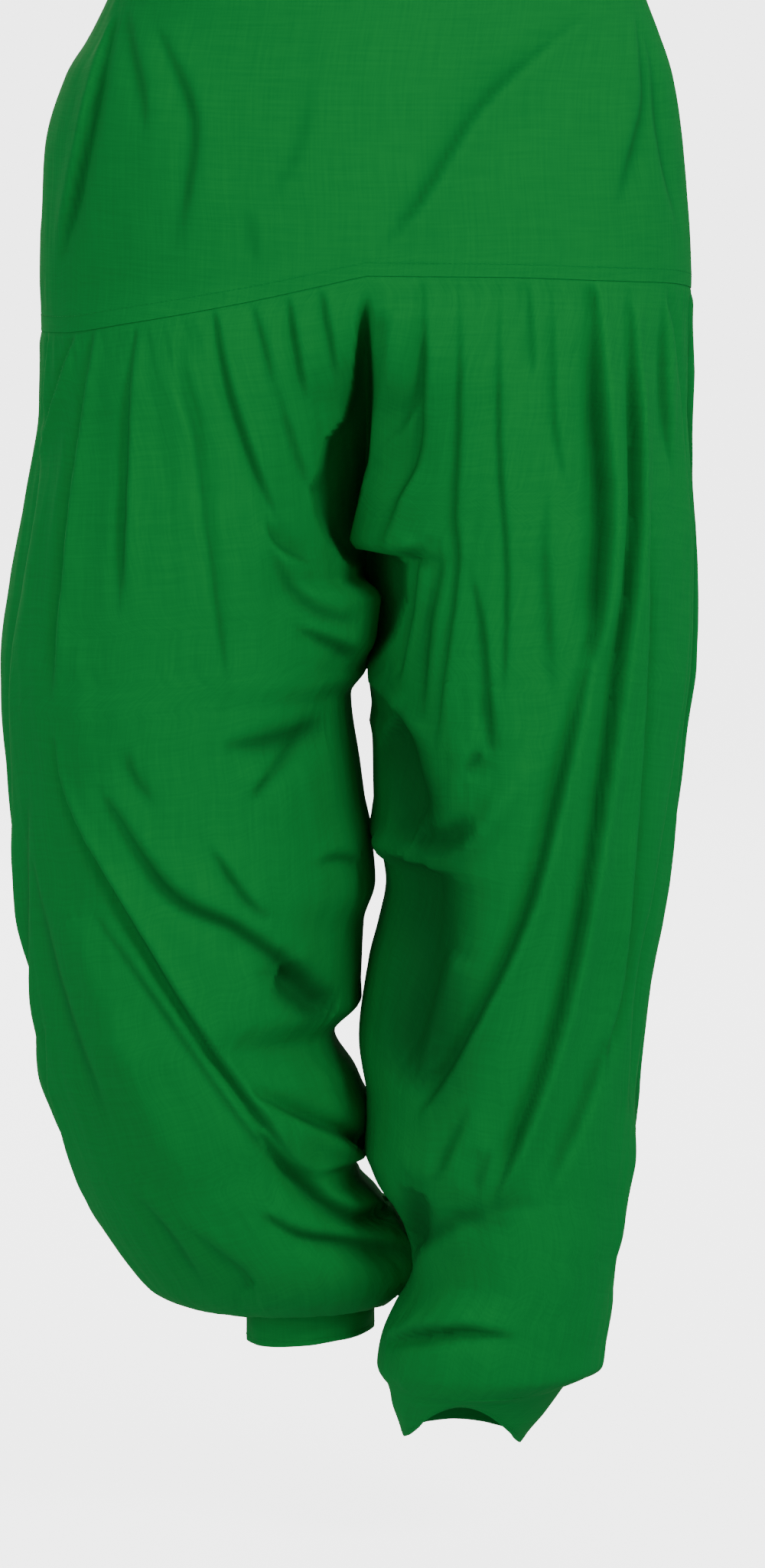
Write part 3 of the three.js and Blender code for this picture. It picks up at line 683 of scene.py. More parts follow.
def shell_mesh(name, outer, thick, crease, ring=False):
    """Closed thin shell from a grid of outer points in millimetres. Rows run down, and columns so that the
    outer face points out. UVs are metres along the cloth."""
    rows, columns = outer.shape[:2]
    inner = outer - thick * outward(outer, ring)
    points = np.concatenate([outer.reshape(-1, 3), inner.reshape(-1, 3)]) * MM
    index = np.arange(2 * rows * columns).reshape(2, rows, columns)
    if ring:
        index = np.concatenate([index, index[:, :, :1]], axis=2)
    o, i = index
    quads = [
        np.stack([o[:-1, :-1], o[1:, :-1], o[1:, 1:], o[:-1, 1:]], axis=-1).reshape(-1, 4),
        np.stack([i[:-1, :-1], i[:-1, 1:], i[1:, 1:], i[1:, :-1]], axis=-1).reshape(-1, 4),
        np.stack([o[0, :-1], o[0, 1:], i[0, 1:], i[0, :-1]], axis=-1),
        np.stack([o[-1, :-1], i[-1, :-1], i[-1, 1:], o[-1, 1:]], axis=-1),
    ]
    if not ring:
        quads.append(np.stack([o[:-1, 0], i[:-1, 0], i[1:, 0], o[1:, 0]], axis=-1))
        quads.append(np.stack([o[:-1, -1], o[1:, -1], i[1:, -1], i[:-1, -1]], axis=-1))
    quads = np.concatenate(quads)
    mesh = bpy.data.meshes.new(name)
    mesh.vertices.add(len(points))
    mesh.vertices.foreach_set("co", points.astype(np.float32).ravel())
    mesh.loops.add(quads.size)
    mesh.loops.foreach_set("vertex_index", quads.astype(np.int32).ravel())
    mesh.polygons.add(len(quads))
    mesh.polygons.foreach_set("loop_start", np.arange(0, quads.size, 4, dtype=np.int32))
    mesh.update(calc_edges=True)
    mesh.polygons.foreach_set("use_smooth", np.ones(len(quads), bool))
    run = travelled(outer, 1)
    run -= run[:, -1:] / 2
    place = np.tile(np.stack([run, travelled(outer, 0)], axis=-1).reshape(-1, 2), (2, 1)) * MM
    layer = mesh.uv_layers.new(name="cloth")
    layer.data.foreach_set("uv", place[quads.ravel()].astype(np.float32).ravel())
    # Painted shade of creases, pleats and seam grooves, which the cloth material reads to darken its colour.
    shade = mesh.attributes.new("crease", "FLOAT", "POINT")
    shade.data.foreach_set("value", np.tile(crease.ravel(), 2).astype(np.float32))
    mesh.set_sharp_from_angle(angle=math.radians(70))
    mesh.validate()
    mesh.update()
    return mesh


def place_piece(name, mesh, material, solid=None):
    """Puts a finished piece into the scene on its body, in place of its solid if it has one."""
    piece = bpy.data.objects.new(name, mesh)
    bpy.context.scene.collection.objects.link(piece)
    mesh.materials.clear()
    mesh.materials.append(material)
    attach(piece, "root")
    if solid:
        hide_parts(solid)
    return piece


def make_cloth(solid, points, shade, thick, settings):
    """Makes one piece of cloth in place of its solid. A piece without crease shade is a ring of doubled
    cloth."""
    ring = shade is None
    if ring:
        shade = np.zeros(points.shape[:2])
    material = salwar_material(settings, "double" if ring else "cloth")
    mesh = shell_mesh(solid + "_cloth", points, thick / MM, shade, ring)
    piece = place_piece(solid + "_cloth", mesh, material, solid)


def node(tree, kind, place, inputs=None, **settings):
    """New node with its settings and the values of its inputs."""
    made = tree.nodes.new(kind)
    made.location = place
    for name, value in settings.items():
        setattr(made, name, value)
    set_inputs(made, inputs or {})
    return made


def set_inputs(made, inputs):
    for name, value in inputs.items():
        made.inputs[name].default_value = value


def connect(tree, *wires):
    """Links nodes. Each wire is a node, its output, the next node and its input."""
    for source, output, target, socket in wires:
        tree.links.new(source.outputs[output], target.inputs[socket])


def tone(colour, share):
    return tuple(share * part for part in colour) + (1,)


def new_material(name):
    material = bpy.data.materials.new(name)
    material.use_nodes = True
    return material, material.node_tree


def cotton_material(name, colour, weave_pitch, fuzz):
    """Matt plain-weave cotton: slubs in both directions, a fine weave, a slow drift of the dye and painted
    shade that darkens the crease bottoms."""
    material, tree = new_material(name)
    tree.nodes.clear()
    out = node(tree, "ShaderNodeOutputMaterial", (1100, 0))
    surface = node(tree, "ShaderNodeBsdfPrincipled", (800, 0), inputs={
        "Roughness": 0.86, "Specular IOR Level": 0.06,
        "Sheen Weight": fuzz, "Sheen Roughness": 0.55, "Sheen Tint": (0.02, 0.75, 0.15, 1)})
    connect(tree, (surface, "BSDF", out, "Surface"))

    cloth = node(tree, "ShaderNodeUVMap", (-1300, 0), uv_map="cloth")
    slub_sum = node(tree, "ShaderNodeMath", (-680, 100), operation="ADD")
    weave = node(tree, "ShaderNodeMath", (-680, -400), operation="MULTIPLY")
    for row, (scale, way) in enumerate((((520, 26, 1), "X"), ((26, 520, 1), "Y"))):
        stretch = node(tree, "ShaderNodeMapping", (-1100, 200 - 260 * row), inputs={
            "Scale": scale, "Location": (3.7 * row, 1.9 * row, 0)})
        slub = node(tree, "ShaderNodeTexNoise", (-900, 200 - 260 * row), noise_dimensions="2D", inputs={
            "Scale": 1.0, "Detail": 2.0})
        thread = node(tree, "ShaderNodeTexWave", (-900, -340 - 240 * row), bands_direction=way, inputs={
            "Scale": math.pi / 10 / weave_pitch, "Distortion": 0.0})
        connect(
            tree, (cloth, "UV", stretch, "Vector"), (stretch, "Vector", slub, "Vector"),
            (slub, "Fac", slub_sum, row), (cloth, "UV", thread, "Vector"), (thread, "Fac", weave, row))
    slub_bump = node(tree, "ShaderNodeBump", (300, -300), inputs={"Strength": 0.32, "Distance": 0.0003})
    weave_bump = node(tree, "ShaderNodeBump", (520, -300), inputs={"Strength": 0.25, "Distance": 0.0001})
    connect(
        tree, (slub_sum, "Value", slub_bump, "Height"), (weave, "Value", weave_bump, "Height"),
        (slub_bump, "Normal", weave_bump, "Normal"), (weave_bump, "Normal", surface, "Normal"))

    space = node(tree, "ShaderNodeTexCoord", (-1300, 600))
    drift = node(tree, "ShaderNodeTexNoise", (-900, 600), inputs={"Scale": 9.0, "Detail": 3.0})
    dye = node(tree, "ShaderNodeMix", (-400, 500), data_type="RGBA", inputs={
        "A": tone(colour, 0.94), "B": tone(colour, 1.06)})
    slub_tone = node(tree, "ShaderNodeMapRange", (-460, 200), inputs={
        "From Min": 0.6, "From Max": 1.4, "To Min": 0.94, "To Max": 1.06})
    toned = node(tree, "ShaderNodeVectorMath", (-160, 400), operation="SCALE")
    # Painted shade: the crease attribute darkens the base colour in creases, at pleat feet and in side seam
    # grooves.
    crease = node(tree, "ShaderNodeAttribute", (-400, -80), attribute_name="crease")
    shade = node(tree, "ShaderNodeMapRange", (-160, 0), inputs={
        "From Min": 0.0, "From Max": 1.0, "To Min": 1.0, "To Max": 0.46})
    shaded = node(tree, "ShaderNodeVectorMath", (100, 300), operation="SCALE")
    connect(
        tree, (space, "Object", drift, "Vector"), (drift, "Fac", dye, "Factor"),
        (slub_sum, "Value", slub_tone, "Value"), (dye, "Result", toned, 0),
        (slub_tone, "Result", toned, "Scale"), (crease, "Fac", shade, "Value"),
        (toned, "Vector", shaded, 0), (shade, "Result", shaded, "Scale"),
        (shaded, "Vector", surface, "Base Color"))
    return material


def thread_material(name, colour):
    """Twisted sewing thread: slanting plies and a slightly brighter, smoother surface than the cloth."""
    material, tree = new_material(name)
    surface = tree.nodes["Principled BSDF"]
    set_inputs(surface, {"Roughness": 0.7, "Specular IOR Level": 0.1})
    space = node(tree, "ShaderNodeTexCoord", (-900, 0))
    plies = node(tree, "ShaderNodeTexWave", (-700, 0), bands_direction="DIAGONAL", inputs={"Scale": 500.0})
    tint = node(tree, "ShaderNodeMix", (-400, 100), data_type="RGBA", inputs={
        "A": tone(colour, 0.95), "B": tone(colour, 1.3)})
    bump = node(tree, "ShaderNodeBump", (-400, -200), inputs={"Strength": 0.4, "Distance": 0.0001})
    connect(
        tree, (space, "Object", plies, "Vector"), (plies, "Fac", tint, "Factor"),
        (plies, "Fac", bump, "Height"), (tint, "Result", surface, "Base Color"),
        (bump, "Normal", surface, "Normal"))
    return material


MATERIAL_NAMES = {"cloth": "worn_cotton", "double": "worn_cotton_double", "thread": "cotton_thread"}


def salwar_material(settings, key):
    """The cloth, doubled cloth or thread finish, made once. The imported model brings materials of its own, so
    these names have to differ from the slots' names."""
    name, colour = MATERIAL_NAMES[key], tuple(settings.cloth_colour)
    found = bpy.data.materials.get(name)
    if found:
        return found
    if key == "thread":
        return thread_material(name, colour)
    fuzz = settings.fuzz if key == "cloth" else settings.fuzz * 0.8
    return cotton_material(name, colour, settings.weave_pitch, fuzz)


def stitch_tree():
    """Geometry Nodes tree that sets rounded stitches along a path. sew() gives the sizes."""
    tree = bpy.data.node_groups.new("stitches_along_path", "GeometryNodeTree")
    face = tree.interface
    face.new_socket("Path", in_out="INPUT", socket_type="NodeSocketGeometry")
    for name in ("Pitch", "Length", "Thread"):
        face.new_socket(name, in_out="INPUT", socket_type="NodeSocketFloat")
    face.new_socket("Material", in_out="INPUT", socket_type="NodeSocketMaterial")
    face.new_socket("Geometry", in_out="OUTPUT", socket_type="NodeSocketGeometry")
    start = node(tree, "NodeGroupInput", (-900, 0))
    curve = node(tree, "GeometryNodeMeshToCurve", (-700, 0))
    spots = node(tree, "GeometryNodeCurveToPoints", (-500, 0), mode="LENGTH")
    bead = node(tree, "GeometryNodeMeshUVSphere", (-500, -300), inputs={
        "Segments": 6, "Rings": 4, "Radius": 0.5})
    size = node(tree, "ShaderNodeCombineXYZ", (-500, -500))
    copies = node(tree, "GeometryNodeInstanceOnPoints", (-200, 0))
    solid = node(tree, "GeometryNodeRealizeInstances", (0, 0))
    smooth = node(tree, "GeometryNodeSetShadeSmooth", (200, 0))
    finish = node(tree, "GeometryNodeSetMaterial", (400, 0))
    end = node(tree, "NodeGroupOutput", (600, 0))
    connect(
        tree, (start, "Path", curve, "Mesh"), (curve, "Curve", spots, "Curve"),
        (start, "Pitch", spots, "Length"), (start, "Thread", size, "X"), (start, "Thread", size, "Y"),
        (start, "Length", size, "Z"), (spots, "Points", copies, "Points"),
        (spots, "Rotation", copies, "Rotation"), (bead, "Mesh", copies, "Instance"),
        (size, "Vector", copies, "Scale"), (copies, "Instances", solid, "Geometry"),
        (solid, "Geometry", smooth, "Geometry"), (smooth, "Geometry", finish, "Geometry"),
        (start, "Material", finish, "Material"), (finish, "Geometry", end, "Geometry"))
    return tree


def sew(name, paths, settings):
    """Sews stitches along paths given in millimetres and places them as one piece."""
    mesh = bpy.data.meshes.new(name + "_path")
    points, edges = [], []
    for path, closed in paths:
        first = len(points)
        points.extend((np.asarray(path) * MM).tolist())
        edges.extend((k, k + 1) for k in range(first, len(points) - 1))
        if closed:
            edges.append((len(points) - 1, first))
    mesh.from_pydata(points, edges, [])
    carrier = bpy.data.objects.new(name + "_path", mesh)
    bpy.context.scene.collection.objects.link(carrier)
    tree = bpy.data.node_groups.get("stitches_along_path") or stitch_tree()
    modifier = carrier.modifiers.new("stitches", "NODES")
    modifier.node_group = tree
    thread = salwar_material(settings, "thread")
    values = {
        "Pitch": settings.stitch_pitch,
        "Length": settings.stitch_length,
        "Thread": settings.thread_thickness,
        "Material": thread,
    }
    for item in tree.interface.items_tree:
        if item.item_type == "SOCKET" and item.in_out == "INPUT" and item.name in values:
            modifier[item.identifier] = values[item.name]
    bpy.context.view_layer.update()
    graph = bpy.context.evaluated_depsgraph_get()
    made = bpy.data.meshes.new_from_object(carrier.evaluated_get(graph))
    carrier.modifiers.remove(modifier)
    bpy.data.objects.remove(carrier)
    if not len(made.polygons):
        raise RuntimeError(f"no stitches were made for {name}")
    place_piece(name, made, thread)


YOKE_GRIDS = {}


def yoke_grid(face, settings):
    """Outer points of a yoke panel across both halves, and its crease shade, worked out once for its cloth
    and its stitches."""
    if face not in YOKE_GRIDS:
        YOKE_GRIDS[face] = new_yoke_grid(face, settings)
    return YOKE_GRIDS[face]


def new_yoke_grid(face, settings):
    share = np.linspace(0.5, 0.0 if face == "front" else 1.0, YOKE_COLUMNS)
    parts = []
    for side in ("right", "left"):
        half = HALVES[side]
        foot = half.seam_down(share) + settings.seam_overlap / MM
        places = panel_places(share, half.down_at(-CASING_HEIGHT), foot, YOKE_ROWS)
        parts.append(yoke_half(half, *places, settings))
    right, left = parts
    joined = [np.concatenate([r, np.flip(l, axis=1)[:, 1:]], axis=1) for r, l in zip(right, left)]
    if face == "back":
        joined = [np.flip(grid, axis=1) for grid in joined]
    return joined


def panel_places(share, top, foot, rows):
    """Shares and lengths of cloth of a panel's grid, whose rows run from top to foot."""
    down = top + (foot - top) * np.linspace(0, 1, rows)[:, None]
    return np.broadcast_to(share, down.shape), down


def side_seam(half, share, down):
    """How near the side seam is, from 0 to 1."""
    return np.exp(-((share - 0.5) * half.girth(down) / SIDE_SEAM_WIDE) ** 2)


def yoke_half(half, share, down, settings):
    """Outer points and crease shade of one side's half of a yoke panel."""
    form, normal = half.form(share, down), half.normal(share, down)
    pucker = settings.pucker / MM
    height, shade = cloth_height(half, share, down, form, settings)
    from_top = down - half.down_at(-CASING_HEIGHT)
    gathers = noise_field(share * 38, down / 60, 45.0 + half.sign)
    height += 2.2 * pucker * gathers * np.exp(-from_top / 20) * smooth_step(0, 5, from_top)
    ridge = smooth_step(16, 6, half.seam_down(share) - down)
    height += ridge * settings.seam_ridge / MM
    seam = side_seam(half, share, down)
    height -= SIDE_SEAM_DEEP * seam
    return form + height[..., None] * normal, np.maximum(shade, SIDE_SEAM_SHADE * seam)


def table_at(rows, z):
    """Second value of table rows that begin with a height, at every z, and 0 beyond the table."""
    heights, values = zip(*rows)
    return np.interp(-z, np.negative(heights), values, left=0, right=0)


def turn_back(points, half, share, down, limit):
    """Ends the front drape beside the middle above the crotch: moves its edge to where it hangs, and what
    lies beyond the edge back into the recess. Returns how far inwards the cloth may reach."""
    z = half.z(down)
    reach = table_at(DRAPE_EDGES[half.side], z)
    own = half.sign * points[..., 0]
    fade = smooth_step(-HIP_Z, -HIP_Z + 60, -z) * smooth_step(-CROTCH_Z, -CROTCH_Z - 24, -z)
    wall_share = WALL_TOP + (DRAPE_WALL - WALL_TOP) * smooth_step(-HIP_Z + 20, -HIP_Z + 120, -z)
    wall = fade * (1 - smooth_step(0.2 * wall_share, wall_share, share))
    hang = np.maximum(-reach, 0)
    edge_own = half.sign * half.form(np.full(down.shape, DRAPE_WALL), down)[..., 0]
    moved = hang + edge_own * smooth_step(0, 5, hang)
    own -= moved * (1 - wall) * smooth_step(60, 8, own) * np.where(z > CROTCH_Z, 1.0, 0.0)
    gone = fade * (1 - np.exp(-np.maximum(reach - own, 0) / RECESS_TURN))
    points[..., 0] = half.sign * own
    points[..., 1] += RECESS_DEEP * np.maximum(gone, wall)
    return np.where(z > CROTCH_Z, limit - hang * (1 - wall), limit)


def end_inwards(points, half, share, down, face):
    """Moves the inner edge of a leg panel to where it is seen and ends it there: at the middle above the
    crotch, where the left leg laps over the right one, and at the leg's own inner side below."""
    above, inn = down < half.crotch_down, half.inn(down)
    toward = table_at(INNER_SWELLS[half.side], half.z(down))
    at_middle = 1 - smooth_step(0, 0.012, np.minimum(share, 1 - share))
    lap = MIDDLE_LAP * at_middle if half.side == "left" else 0.0
    limit = np.where(above, SEAM_GAP / 2 - lap, inn - toward)
    own = half.sign * points[..., 0]
    points[..., 0] -= half.sign * np.where(above, lap, toward * smooth_step(45, 0, own - inn))
    if face == "front":
        limit = turn_back(points, half, share, down, limit)
    inward = half.sign * points[..., 0] < limit
    points[..., 0] = np.where(inward, half.sign * limit, points[..., 0])


def leg_grid(side, face, settings):
    """Outer points of a leg panel, and its crease shade."""
    half = HALVES[side]
    low, high = (0.0, 0.5) if face == "front" else (0.5, 1.0)
    share = np.linspace(low, high, settings.leg_columns)
    top = half.seam_down(share) - settings.seam_tuck / MM
    share, down = panel_places(share, top, half.hem_down, settings.leg_rows)
    form, normal = half.form(share, down), half.normal(share, down)
    height, shade = cloth_height(half, share, down, form, settings)
    below = down - half.seam_down(share)
    height = np.where(below > 0, height, 0.0)
    height -= settings.cloth_thickness / MM * (1 - smooth_step(-1, 1.5, below))
    seam = side_seam(half, share, down)
    height -= SIDE_SEAM_DEEP * seam * smooth_step(0, 12, below)
    points = form + height[..., None] * normal
    end_inwards(points, half, share, down, face)
    shade = np.maximum(shade, SIDE_SEAM_SHADE * seam)
    if side == "right":
        points, shade = np.flip(points, axis=1), np.flip(shade, axis=1)
    return points, shade


def cuff_loop(side, settings):
    """Outer points of a cuff from its top edge, which reaches up into the leg, to its hem."""
    sign = 1 if side == "left" else -1
    top, hem = CUFFS[side]
    run = np.linspace(-0.09, 1, CUFF_ROWS)[:, None]
    angle = sign * 2 * math.pi * np.arange(CUFF_COLUMNS)[None, :] / CUFF_COLUMNS
    at = CuffLevel(*(a + (b - a) * run for a, b in zip(top, hem)))
    turn = 2 * math.pi * (np.arange(CUFF_COLUMNS) / CUFF_COLUMNS)
    ripple = noise_field(2.6 * np.cos(turn), 2.6 * np.sin(turn), 2.2 * run + 5 * sign)
    swell = ripple * settings.cuff_wave / MM * smooth_step(-0.05, 0.3, run)
    across, depth = (at.out - at.inn) / 2 + swell, (at.back - at.front) / 2 + swell
    x = sign * ((at.out + at.inn) / 2 - across * np.cos(angle))
    y = (at.front + at.back) / 2 - depth * np.sin(angle)
    at_front, at_inside = np.maximum(np.sin(angle), 0) ** 2, 0.5 + 0.5 * np.cos(angle)
    z = at.z + at.lift * at_front + at.tilt * at_inside
    return np.stack([x, y, z], axis=-1)


def casing_loop(settings):
    """Outer points of the gathered casing, row by row from its folded top edge."""
    turn, z = np.meshgrid(
        2 * np.arange(CASING_COLUMNS) / CASING_COLUMNS, np.linspace(0, -CASING_HEIGHT - 0.6, CASING_ROWS))
    form, normal = np.empty((2, *z.shape, 3))
    for side, picked in (("left", turn < 1), ("right", turn >= 1)):
        half = HALVES[side]
        share, down = np.where(turn < 1, turn, 2 - turn)[picked], half.down_at(z[picked])
        form[picked], normal[picked] = half.form(share, down), half.normal(share, down + 1.0)
    normal[..., 2] = 0
    a, b = 9 * np.cos(math.pi * turn), 9 * np.sin(math.pi * turn)
    gather = noise_field(a, b, z / 60) + 0.5 * noise_field(2.2 * a, 2.2 * b, z / 40)
    from_stitches = z - CASING_STITCH_Z
    flatter = 1 - 0.5 * np.exp(-(from_stitches / 3.0) ** 2)
    pulled_in = 0.7 * np.exp(-(from_stitches / 1.6) ** 2)
    lift = settings.casing_gather / MM * gather * flatter - pulled_in - np.exp(z / 1.4)
    grid = form + unit(normal) * lift[..., None]
    grid[..., 2] = z
    return grid


class SalwarCloth(bpy.types.PropertyGroup):
    """Cloth, seams and creases."""

    cloth_thickness: bpy.props.FloatProperty(
        name="Cloth thickness", description="Thickness of the shown cloth", default=0.0007, unit="LENGTH",
        precision=5)
    cloth_colour: bpy.props.FloatVectorProperty(
        name="Cloth colour", description="Green of the dyed cotton", subtype="COLOR",
        default=(0.0085, 0.186, 0.033), min=0, max=1)
    fuzz: bpy.props.FloatProperty(
        name="Fuzz", description="Strength of the soft nap on the cotton", default=0.03, min=0, max=1)
    weave_pitch: bpy.props.FloatProperty(
        name="Weave pitch", description="Distance between two threads of the weave", default=0.00046,
        unit="LENGTH", precision=5)
    wrinkle: bpy.props.FloatProperty(
        name="Small wrinkles", description="Height of the small loose wrinkles", default=0.0009,
        unit="LENGTH", precision=5)
    pucker: bpy.props.FloatProperty(
        name="Seam pucker", description="Height of the puckers between pleats and above the cuffs",
        default=0.0011, unit="LENGTH", precision=5)
    seam_ridge: bpy.props.FloatProperty(
        name="Seam ridge", description="How far the turned-up seam allowance lifts the yoke's edge",
        default=0.00025, unit="LENGTH", precision=5)
    seam_overlap: bpy.props.FloatProperty(
        name="Seam overlap", description="How far the yoke's edge reaches over the seam", default=0.001,
        unit="LENGTH", precision=5)
    seam_tuck: bpy.props.FloatProperty(
        name="Seam tuck", description="How far the leg panels reach up under the yoke", default=0.006,
        unit="LENGTH", precision=5)
    crease_depth: bpy.props.FloatProperty(
        name="Crease depth", description="Depth of the hand-placed creases, as a share of their own sizes",
        default=1.2, min=0, max=3)
    leg_columns: bpy.props.IntProperty(
        name="Leg columns", description="Cloth mesh columns across each leg panel", default=176, min=20)
    leg_rows: bpy.props.IntProperty(
        name="Leg rows", description="Cloth mesh rows down each leg panel", default=252, min=20)


class SalwarTrim(bpy.types.PropertyGroup):
    """Casing, cuffs and stitches."""

    casing_thickness: bpy.props.FloatProperty(
        name="Casing thickness", description="Thickness of the folded casing", default=0.0026,
        unit="LENGTH", precision=5)
    casing_gather: bpy.props.FloatProperty(
        name="Casing gathers", description="Height of the gathers of the casing", default=0.0021,
        unit="LENGTH", precision=5)
    cuff_thickness: bpy.props.FloatProperty(
        name="Cuff thickness", description="Thickness of the stiffened cuff", default=0.0022,
        unit="LENGTH", precision=5)
    cuff_wave: bpy.props.FloatProperty(
        name="Cuff wave", description="How far the cuffs wave in and out", default=0.0016,
        unit="LENGTH", precision=5)
    stitch_pitch: bpy.props.FloatProperty(
        name="Stitch pitch", description="Distance from one stitch to the next", default=0.0036,
        unit="LENGTH", precision=5)
    stitch_length: bpy.props.FloatProperty(
        name="Stitch length", description="Length of one stitch", default=0.0028, unit="LENGTH", precision=5)
    thread_thickness: bpy.props.FloatProperty(
        name="Thread thickness", description="Thickness of the sewing thread", default=0.00032,
        unit="LENGTH", precision=5)


class Settings:
    """Reads both property groups as one."""

    def __init__(self, scene):
        self.groups = (scene.salwar_cloth, scene.salwar_trim)

    def __getattr__(self, name):
        for group in self.groups:
            if hasattr(group, name):
                return getattr(group, name)
        raise AttributeError(name)


class SALWAR_OT_yoke(bpy.types.Operator):
    """Makes the front and back panels of the hip yoke"""

    bl_idname = "salwar.yoke"
    bl_label = "Make yoke"

    def execute(self, context):
        settings = Settings(context.scene)
        YOKE_GRIDS.clear()
        for face in ("front", "back"):
            points, shade = yoke_grid(face, settings)
            make_cloth(
                f"yoke_{face}", points, shade, settings.cloth_thickness, settings)
        return {"FINISHED"}


class SALWAR_OT_legs(bpy.types.Operator):
    """Makes the front and back panels of both pleated legs"""

    bl_idname = "salwar.legs"
    bl_label = "Make legs"

    def execute(self, context):
        settings = Settings(context.scene)
        for side in ("right", "left"):
            for face in ("front", "back"):
                points, shade = leg_grid(side, face, settings)
                make_cloth(
                    f"{side}_leg_{face}", points, shade, settings.cloth_thickness, settings)
        return {"FINISHED"}


class SALWAR_OT_casing(bpy.types.Operator):
    """Makes the gathered casing round the waist"""

    bl_idname = "salwar.casing"
    bl_label = "Make casing"

    def execute(self, context):
        settings = Settings(context.scene)
        points = casing_loop(settings)
        make_cloth("waist_casing", points, None, settings.casing_thickness, settings)
        return {"FINISHED"}


class SALWAR_OT_cuffs(bpy.types.Operator):
    """Makes the ankle cuffs"""

    bl_idname = "salwar.cuffs"
    bl_label = "Make cuffs"

    def execute(self, context):
        settings = Settings(context.scene)
        for side in ("right", "left"):
            points = cuff_loop(side, settings)
            make_cloth(
                f"{side}_ankle_cuff", points, None, settings.cuff_thickness, settings)
        return {"FINISHED"}


def thread_path(points, row, ring=True):
    """One row of a grid of outer points, lifted to where its thread lies, and whether it closes."""
    return points[row] + outward(points, ring)[row] * THREAD_LIFT, ring


class SALWAR_OT_stitches(bpy.types.Operator):
    """Sews the stitch rows of the yoke seam, the casing and the cuffs"""

    bl_idname = "salwar.stitches"
    bl_label = "Sew stitches"

    def execute(self, context):
        settings = Settings(context.scene)
        paths = [thread_path(yoke_grid(face, settings)[0], -4, False) for face in ("front", "back")]
        sew("yoke_seam_stitches", paths, settings)
        casing = casing_loop(settings)
        row = int(np.argmin(np.abs(casing[:, 0, 2] - CASING_STITCH_Z)))
        sew("casing_stitches", [thread_path(casing, row)], settings)
        for side, rows in (("right", (5, -3)), ("left", (-3,))):
            cuff = cuff_loop(side, settings)
            paths = [thread_path(cuff, row) for row in rows]
            sew(f"{side}_cuff_stitches", paths, settings)
        return {"FINISHED"}


class SALWAR_OT_stage(bpy.types.Operator):
    """Makes the pale floor, the soft lights and the camera"""

    bl_idname = "salwar.stage"
    bl_label = "Make stage"

    def execute(self, context):
        scene = context.scene
        camera_data = bpy.data.cameras.new("camera")
        camera_data.sensor_width = SENSOR
        camera_data.lens = SENSOR * VIEW_DISTANCE / VIEW_TALL
        camera_data.clip_end = 50
        camera = bpy.data.objects.new("camera", camera_data)
        camera.location = Vector(VIEW_EYE) * MM
        aim = Vector(VIEW_AIM - VIEW_EYE)
        camera.rotation_euler = aim.to_track_quat("-Z", "Y").to_euler()
        scene.collection.objects.link(camera)
        scene.camera = camera
        make_floor(scene)
        make_backdrop(scene)
        make_lights(scene)
        return {"FINISHED"}


FLOOR_Z = -1.034
FLOOR_RADIUS = 14.0
BACKDROP_TOP = 12.0
RIM_CORNERS = 64


def stage_rim(height):
    """Corners of the round floor or of the wall round it, at one height."""
    turns = [2 * math.pi * k / RIM_CORNERS for k in range(RIM_CORNERS)]
    return [(FLOOR_RADIUS * math.cos(a), FLOOR_RADIUS * math.sin(a), height) for a in turns]


def place_stage(scene, name, points, faces, material):
    """Puts a part of the stage into the scene, which is seen but throws no light on the garment."""
    mesh = bpy.data.meshes.new(name)
    mesh.from_pydata(points, [], faces)
    mesh.materials.append(material)
    made = bpy.data.objects.new(name, mesh)
    made.visible_diffuse = made.visible_glossy = False
    scene.collection.objects.link(made)
    return made


def make_floor(scene):
    """Round pale floor under the garment."""
    material, tree = new_material("pale_floor")
    set_inputs(tree.nodes["Principled BSDF"], {
        "Base Color": (0.86, 0.86, 0.86, 1), "Roughness": 0.9,
        "Emission Color": (1, 1, 1, 1), "Emission Strength": 3.5})
    place_stage(scene, "floor", stage_rim(FLOOR_Z), [list(range(RIM_CORNERS))], material)


def make_backdrop(scene):
    """Pale wall and roof far round the garment."""
    material, tree = new_material("pale_backdrop")
    tree.nodes.clear()
    glow = node(tree, "ShaderNodeEmission", (0, 0), inputs={"Color": (1, 1, 1, 1), "Strength": 4.0})
    out = node(tree, "ShaderNodeOutputMaterial", (200, 0))
    connect(tree, (glow, "Emission", out, "Surface"))
    count = RIM_CORNERS
    points = stage_rim(FLOOR_Z - 0.5) + stage_rim(BACKDROP_TOP) + [(0, 0, BACKDROP_TOP + 2)]
    walls = [((k + 1) % count, k, count + k, count + (k + 1) % count) for k in range(count)]
    roof = [(count + (k + 1) % count, count + k, 2 * count) for k in range(count)]
    backdrop = place_stage(scene, "backdrop", points, walls + roof, material)
    backdrop.visible_shadow = False


Light = namedtuple("Light", "name place size watts")
LIGHTS = [
    Light("key_softbox", (2.3, -2.6, 1.9), 1.4, 92.0),
    Light("fill_softbox", (-2.6, -2.9, -0.2), 2.6, 42.0),
    Light("back_softbox", (-1.2, 3.0, 1.3), 2.6, 60.0),
]


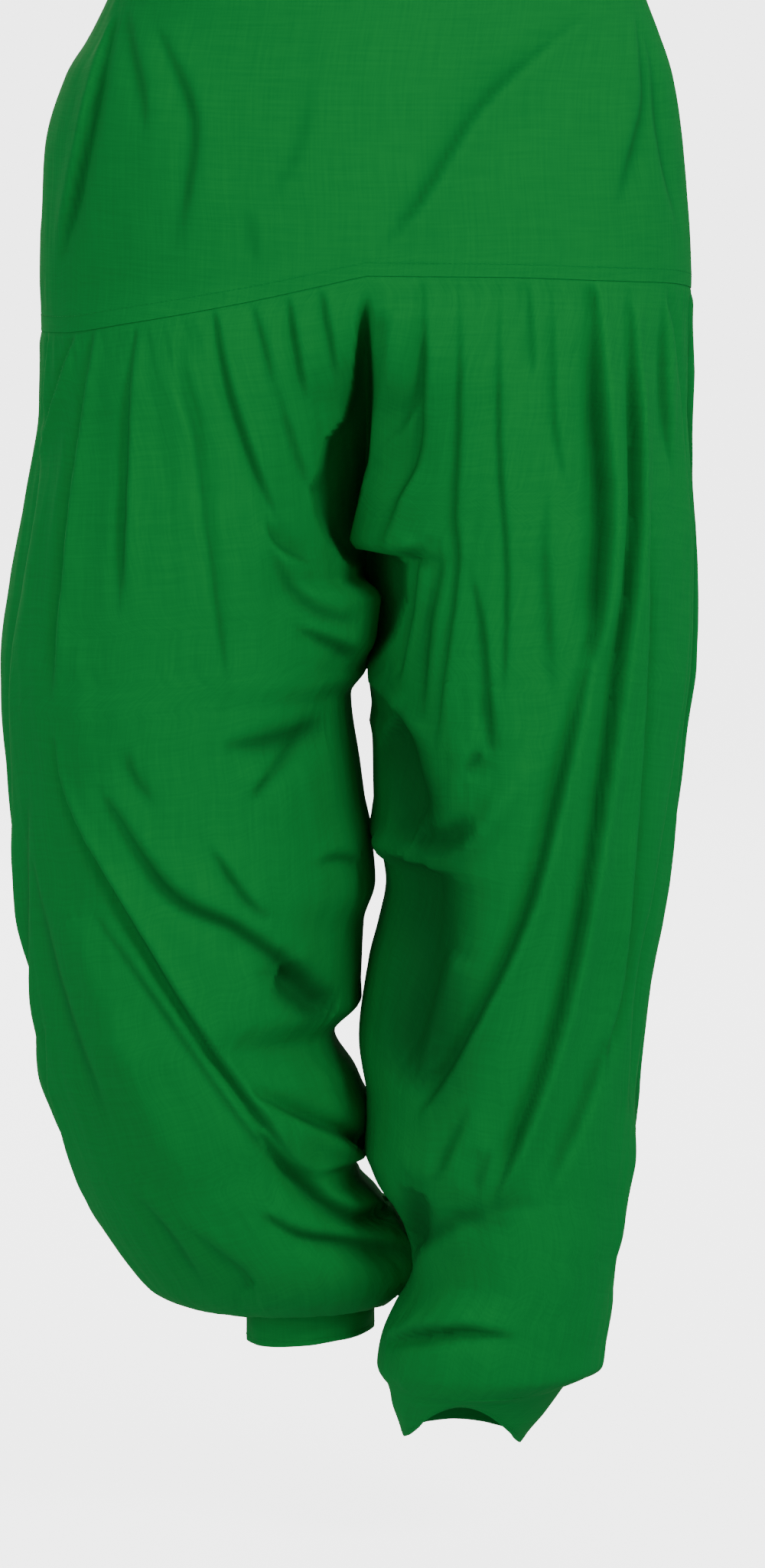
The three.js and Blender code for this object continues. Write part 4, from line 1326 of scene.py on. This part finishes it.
def make_lights(scene):
    """Large soft lights that face the garment, and an even pale surround."""
    aim = Vector((0, 0, -0.55))
    for light in LIGHTS:
        data = bpy.data.lights.new(light.name, "AREA")
        data.shape, data.size, data.energy = "DISK", light.size, light.watts
        lamp = bpy.data.objects.new(light.name, data)
        lamp.location = light.place
        lamp.rotation_euler = (aim - Vector(light.place)).to_track_quat("-Z", "Y").to_euler()
        scene.collection.objects.link(lamp)
    world = bpy.data.worlds.new("pale_surround")
    world.use_nodes = True
    set_inputs(world.node_tree.nodes["Background"], {"Color": (1, 1, 1, 1), "Strength": 0.6})
    scene.world = world


class SALWAR_PT_panel(bpy.types.Panel):
    """Sizes, colours and pieces of the salwar"""

    bl_label = "Patiala salwar"
    bl_idname = "SALWAR_PT_panel"
    bl_space_type = "VIEW_3D"
    bl_region_type = "UI"
    bl_category = "Salwar"

    def draw(self, context):
        for group in (context.scene.salwar_cloth, context.scene.salwar_trim):
            box = self.layout.box()
            for name in group.bl_rna.properties.keys():
                if name not in ("rna_type", "name"):
                    box.prop(group, name)
        for operator in PIECE_OPERATORS:
            self.layout.operator(operator.bl_idname)


PIECE_OPERATORS = (
    SALWAR_OT_stage, SALWAR_OT_casing, SALWAR_OT_yoke, SALWAR_OT_legs, SALWAR_OT_cuffs, SALWAR_OT_stitches)
CLASSES = (SalwarCloth, SalwarTrim, *PIECE_OPERATORS, SALWAR_PT_panel)


def register():
    for cls in CLASSES:
        bpy.utils.register_class(cls)
    bpy.types.Scene.salwar_cloth = bpy.props.PointerProperty(type=SalwarCloth)
    bpy.types.Scene.salwar_trim = bpy.props.PointerProperty(type=SalwarTrim)


def unregister():
    del bpy.types.Scene.salwar_trim
    del bpy.types.Scene.salwar_cloth
    for cls in reversed(CLASSES):
        bpy.utils.unregister_class(cls)


def main():
    register()
    bpy.ops.salwar.stage()
    bpy.ops.salwar.casing()
    bpy.ops.salwar.yoke()
    bpy.ops.salwar.legs()
    bpy.ops.salwar.cuffs()
    bpy.ops.salwar.stitches()


if __name__ == "__main__":
    main()
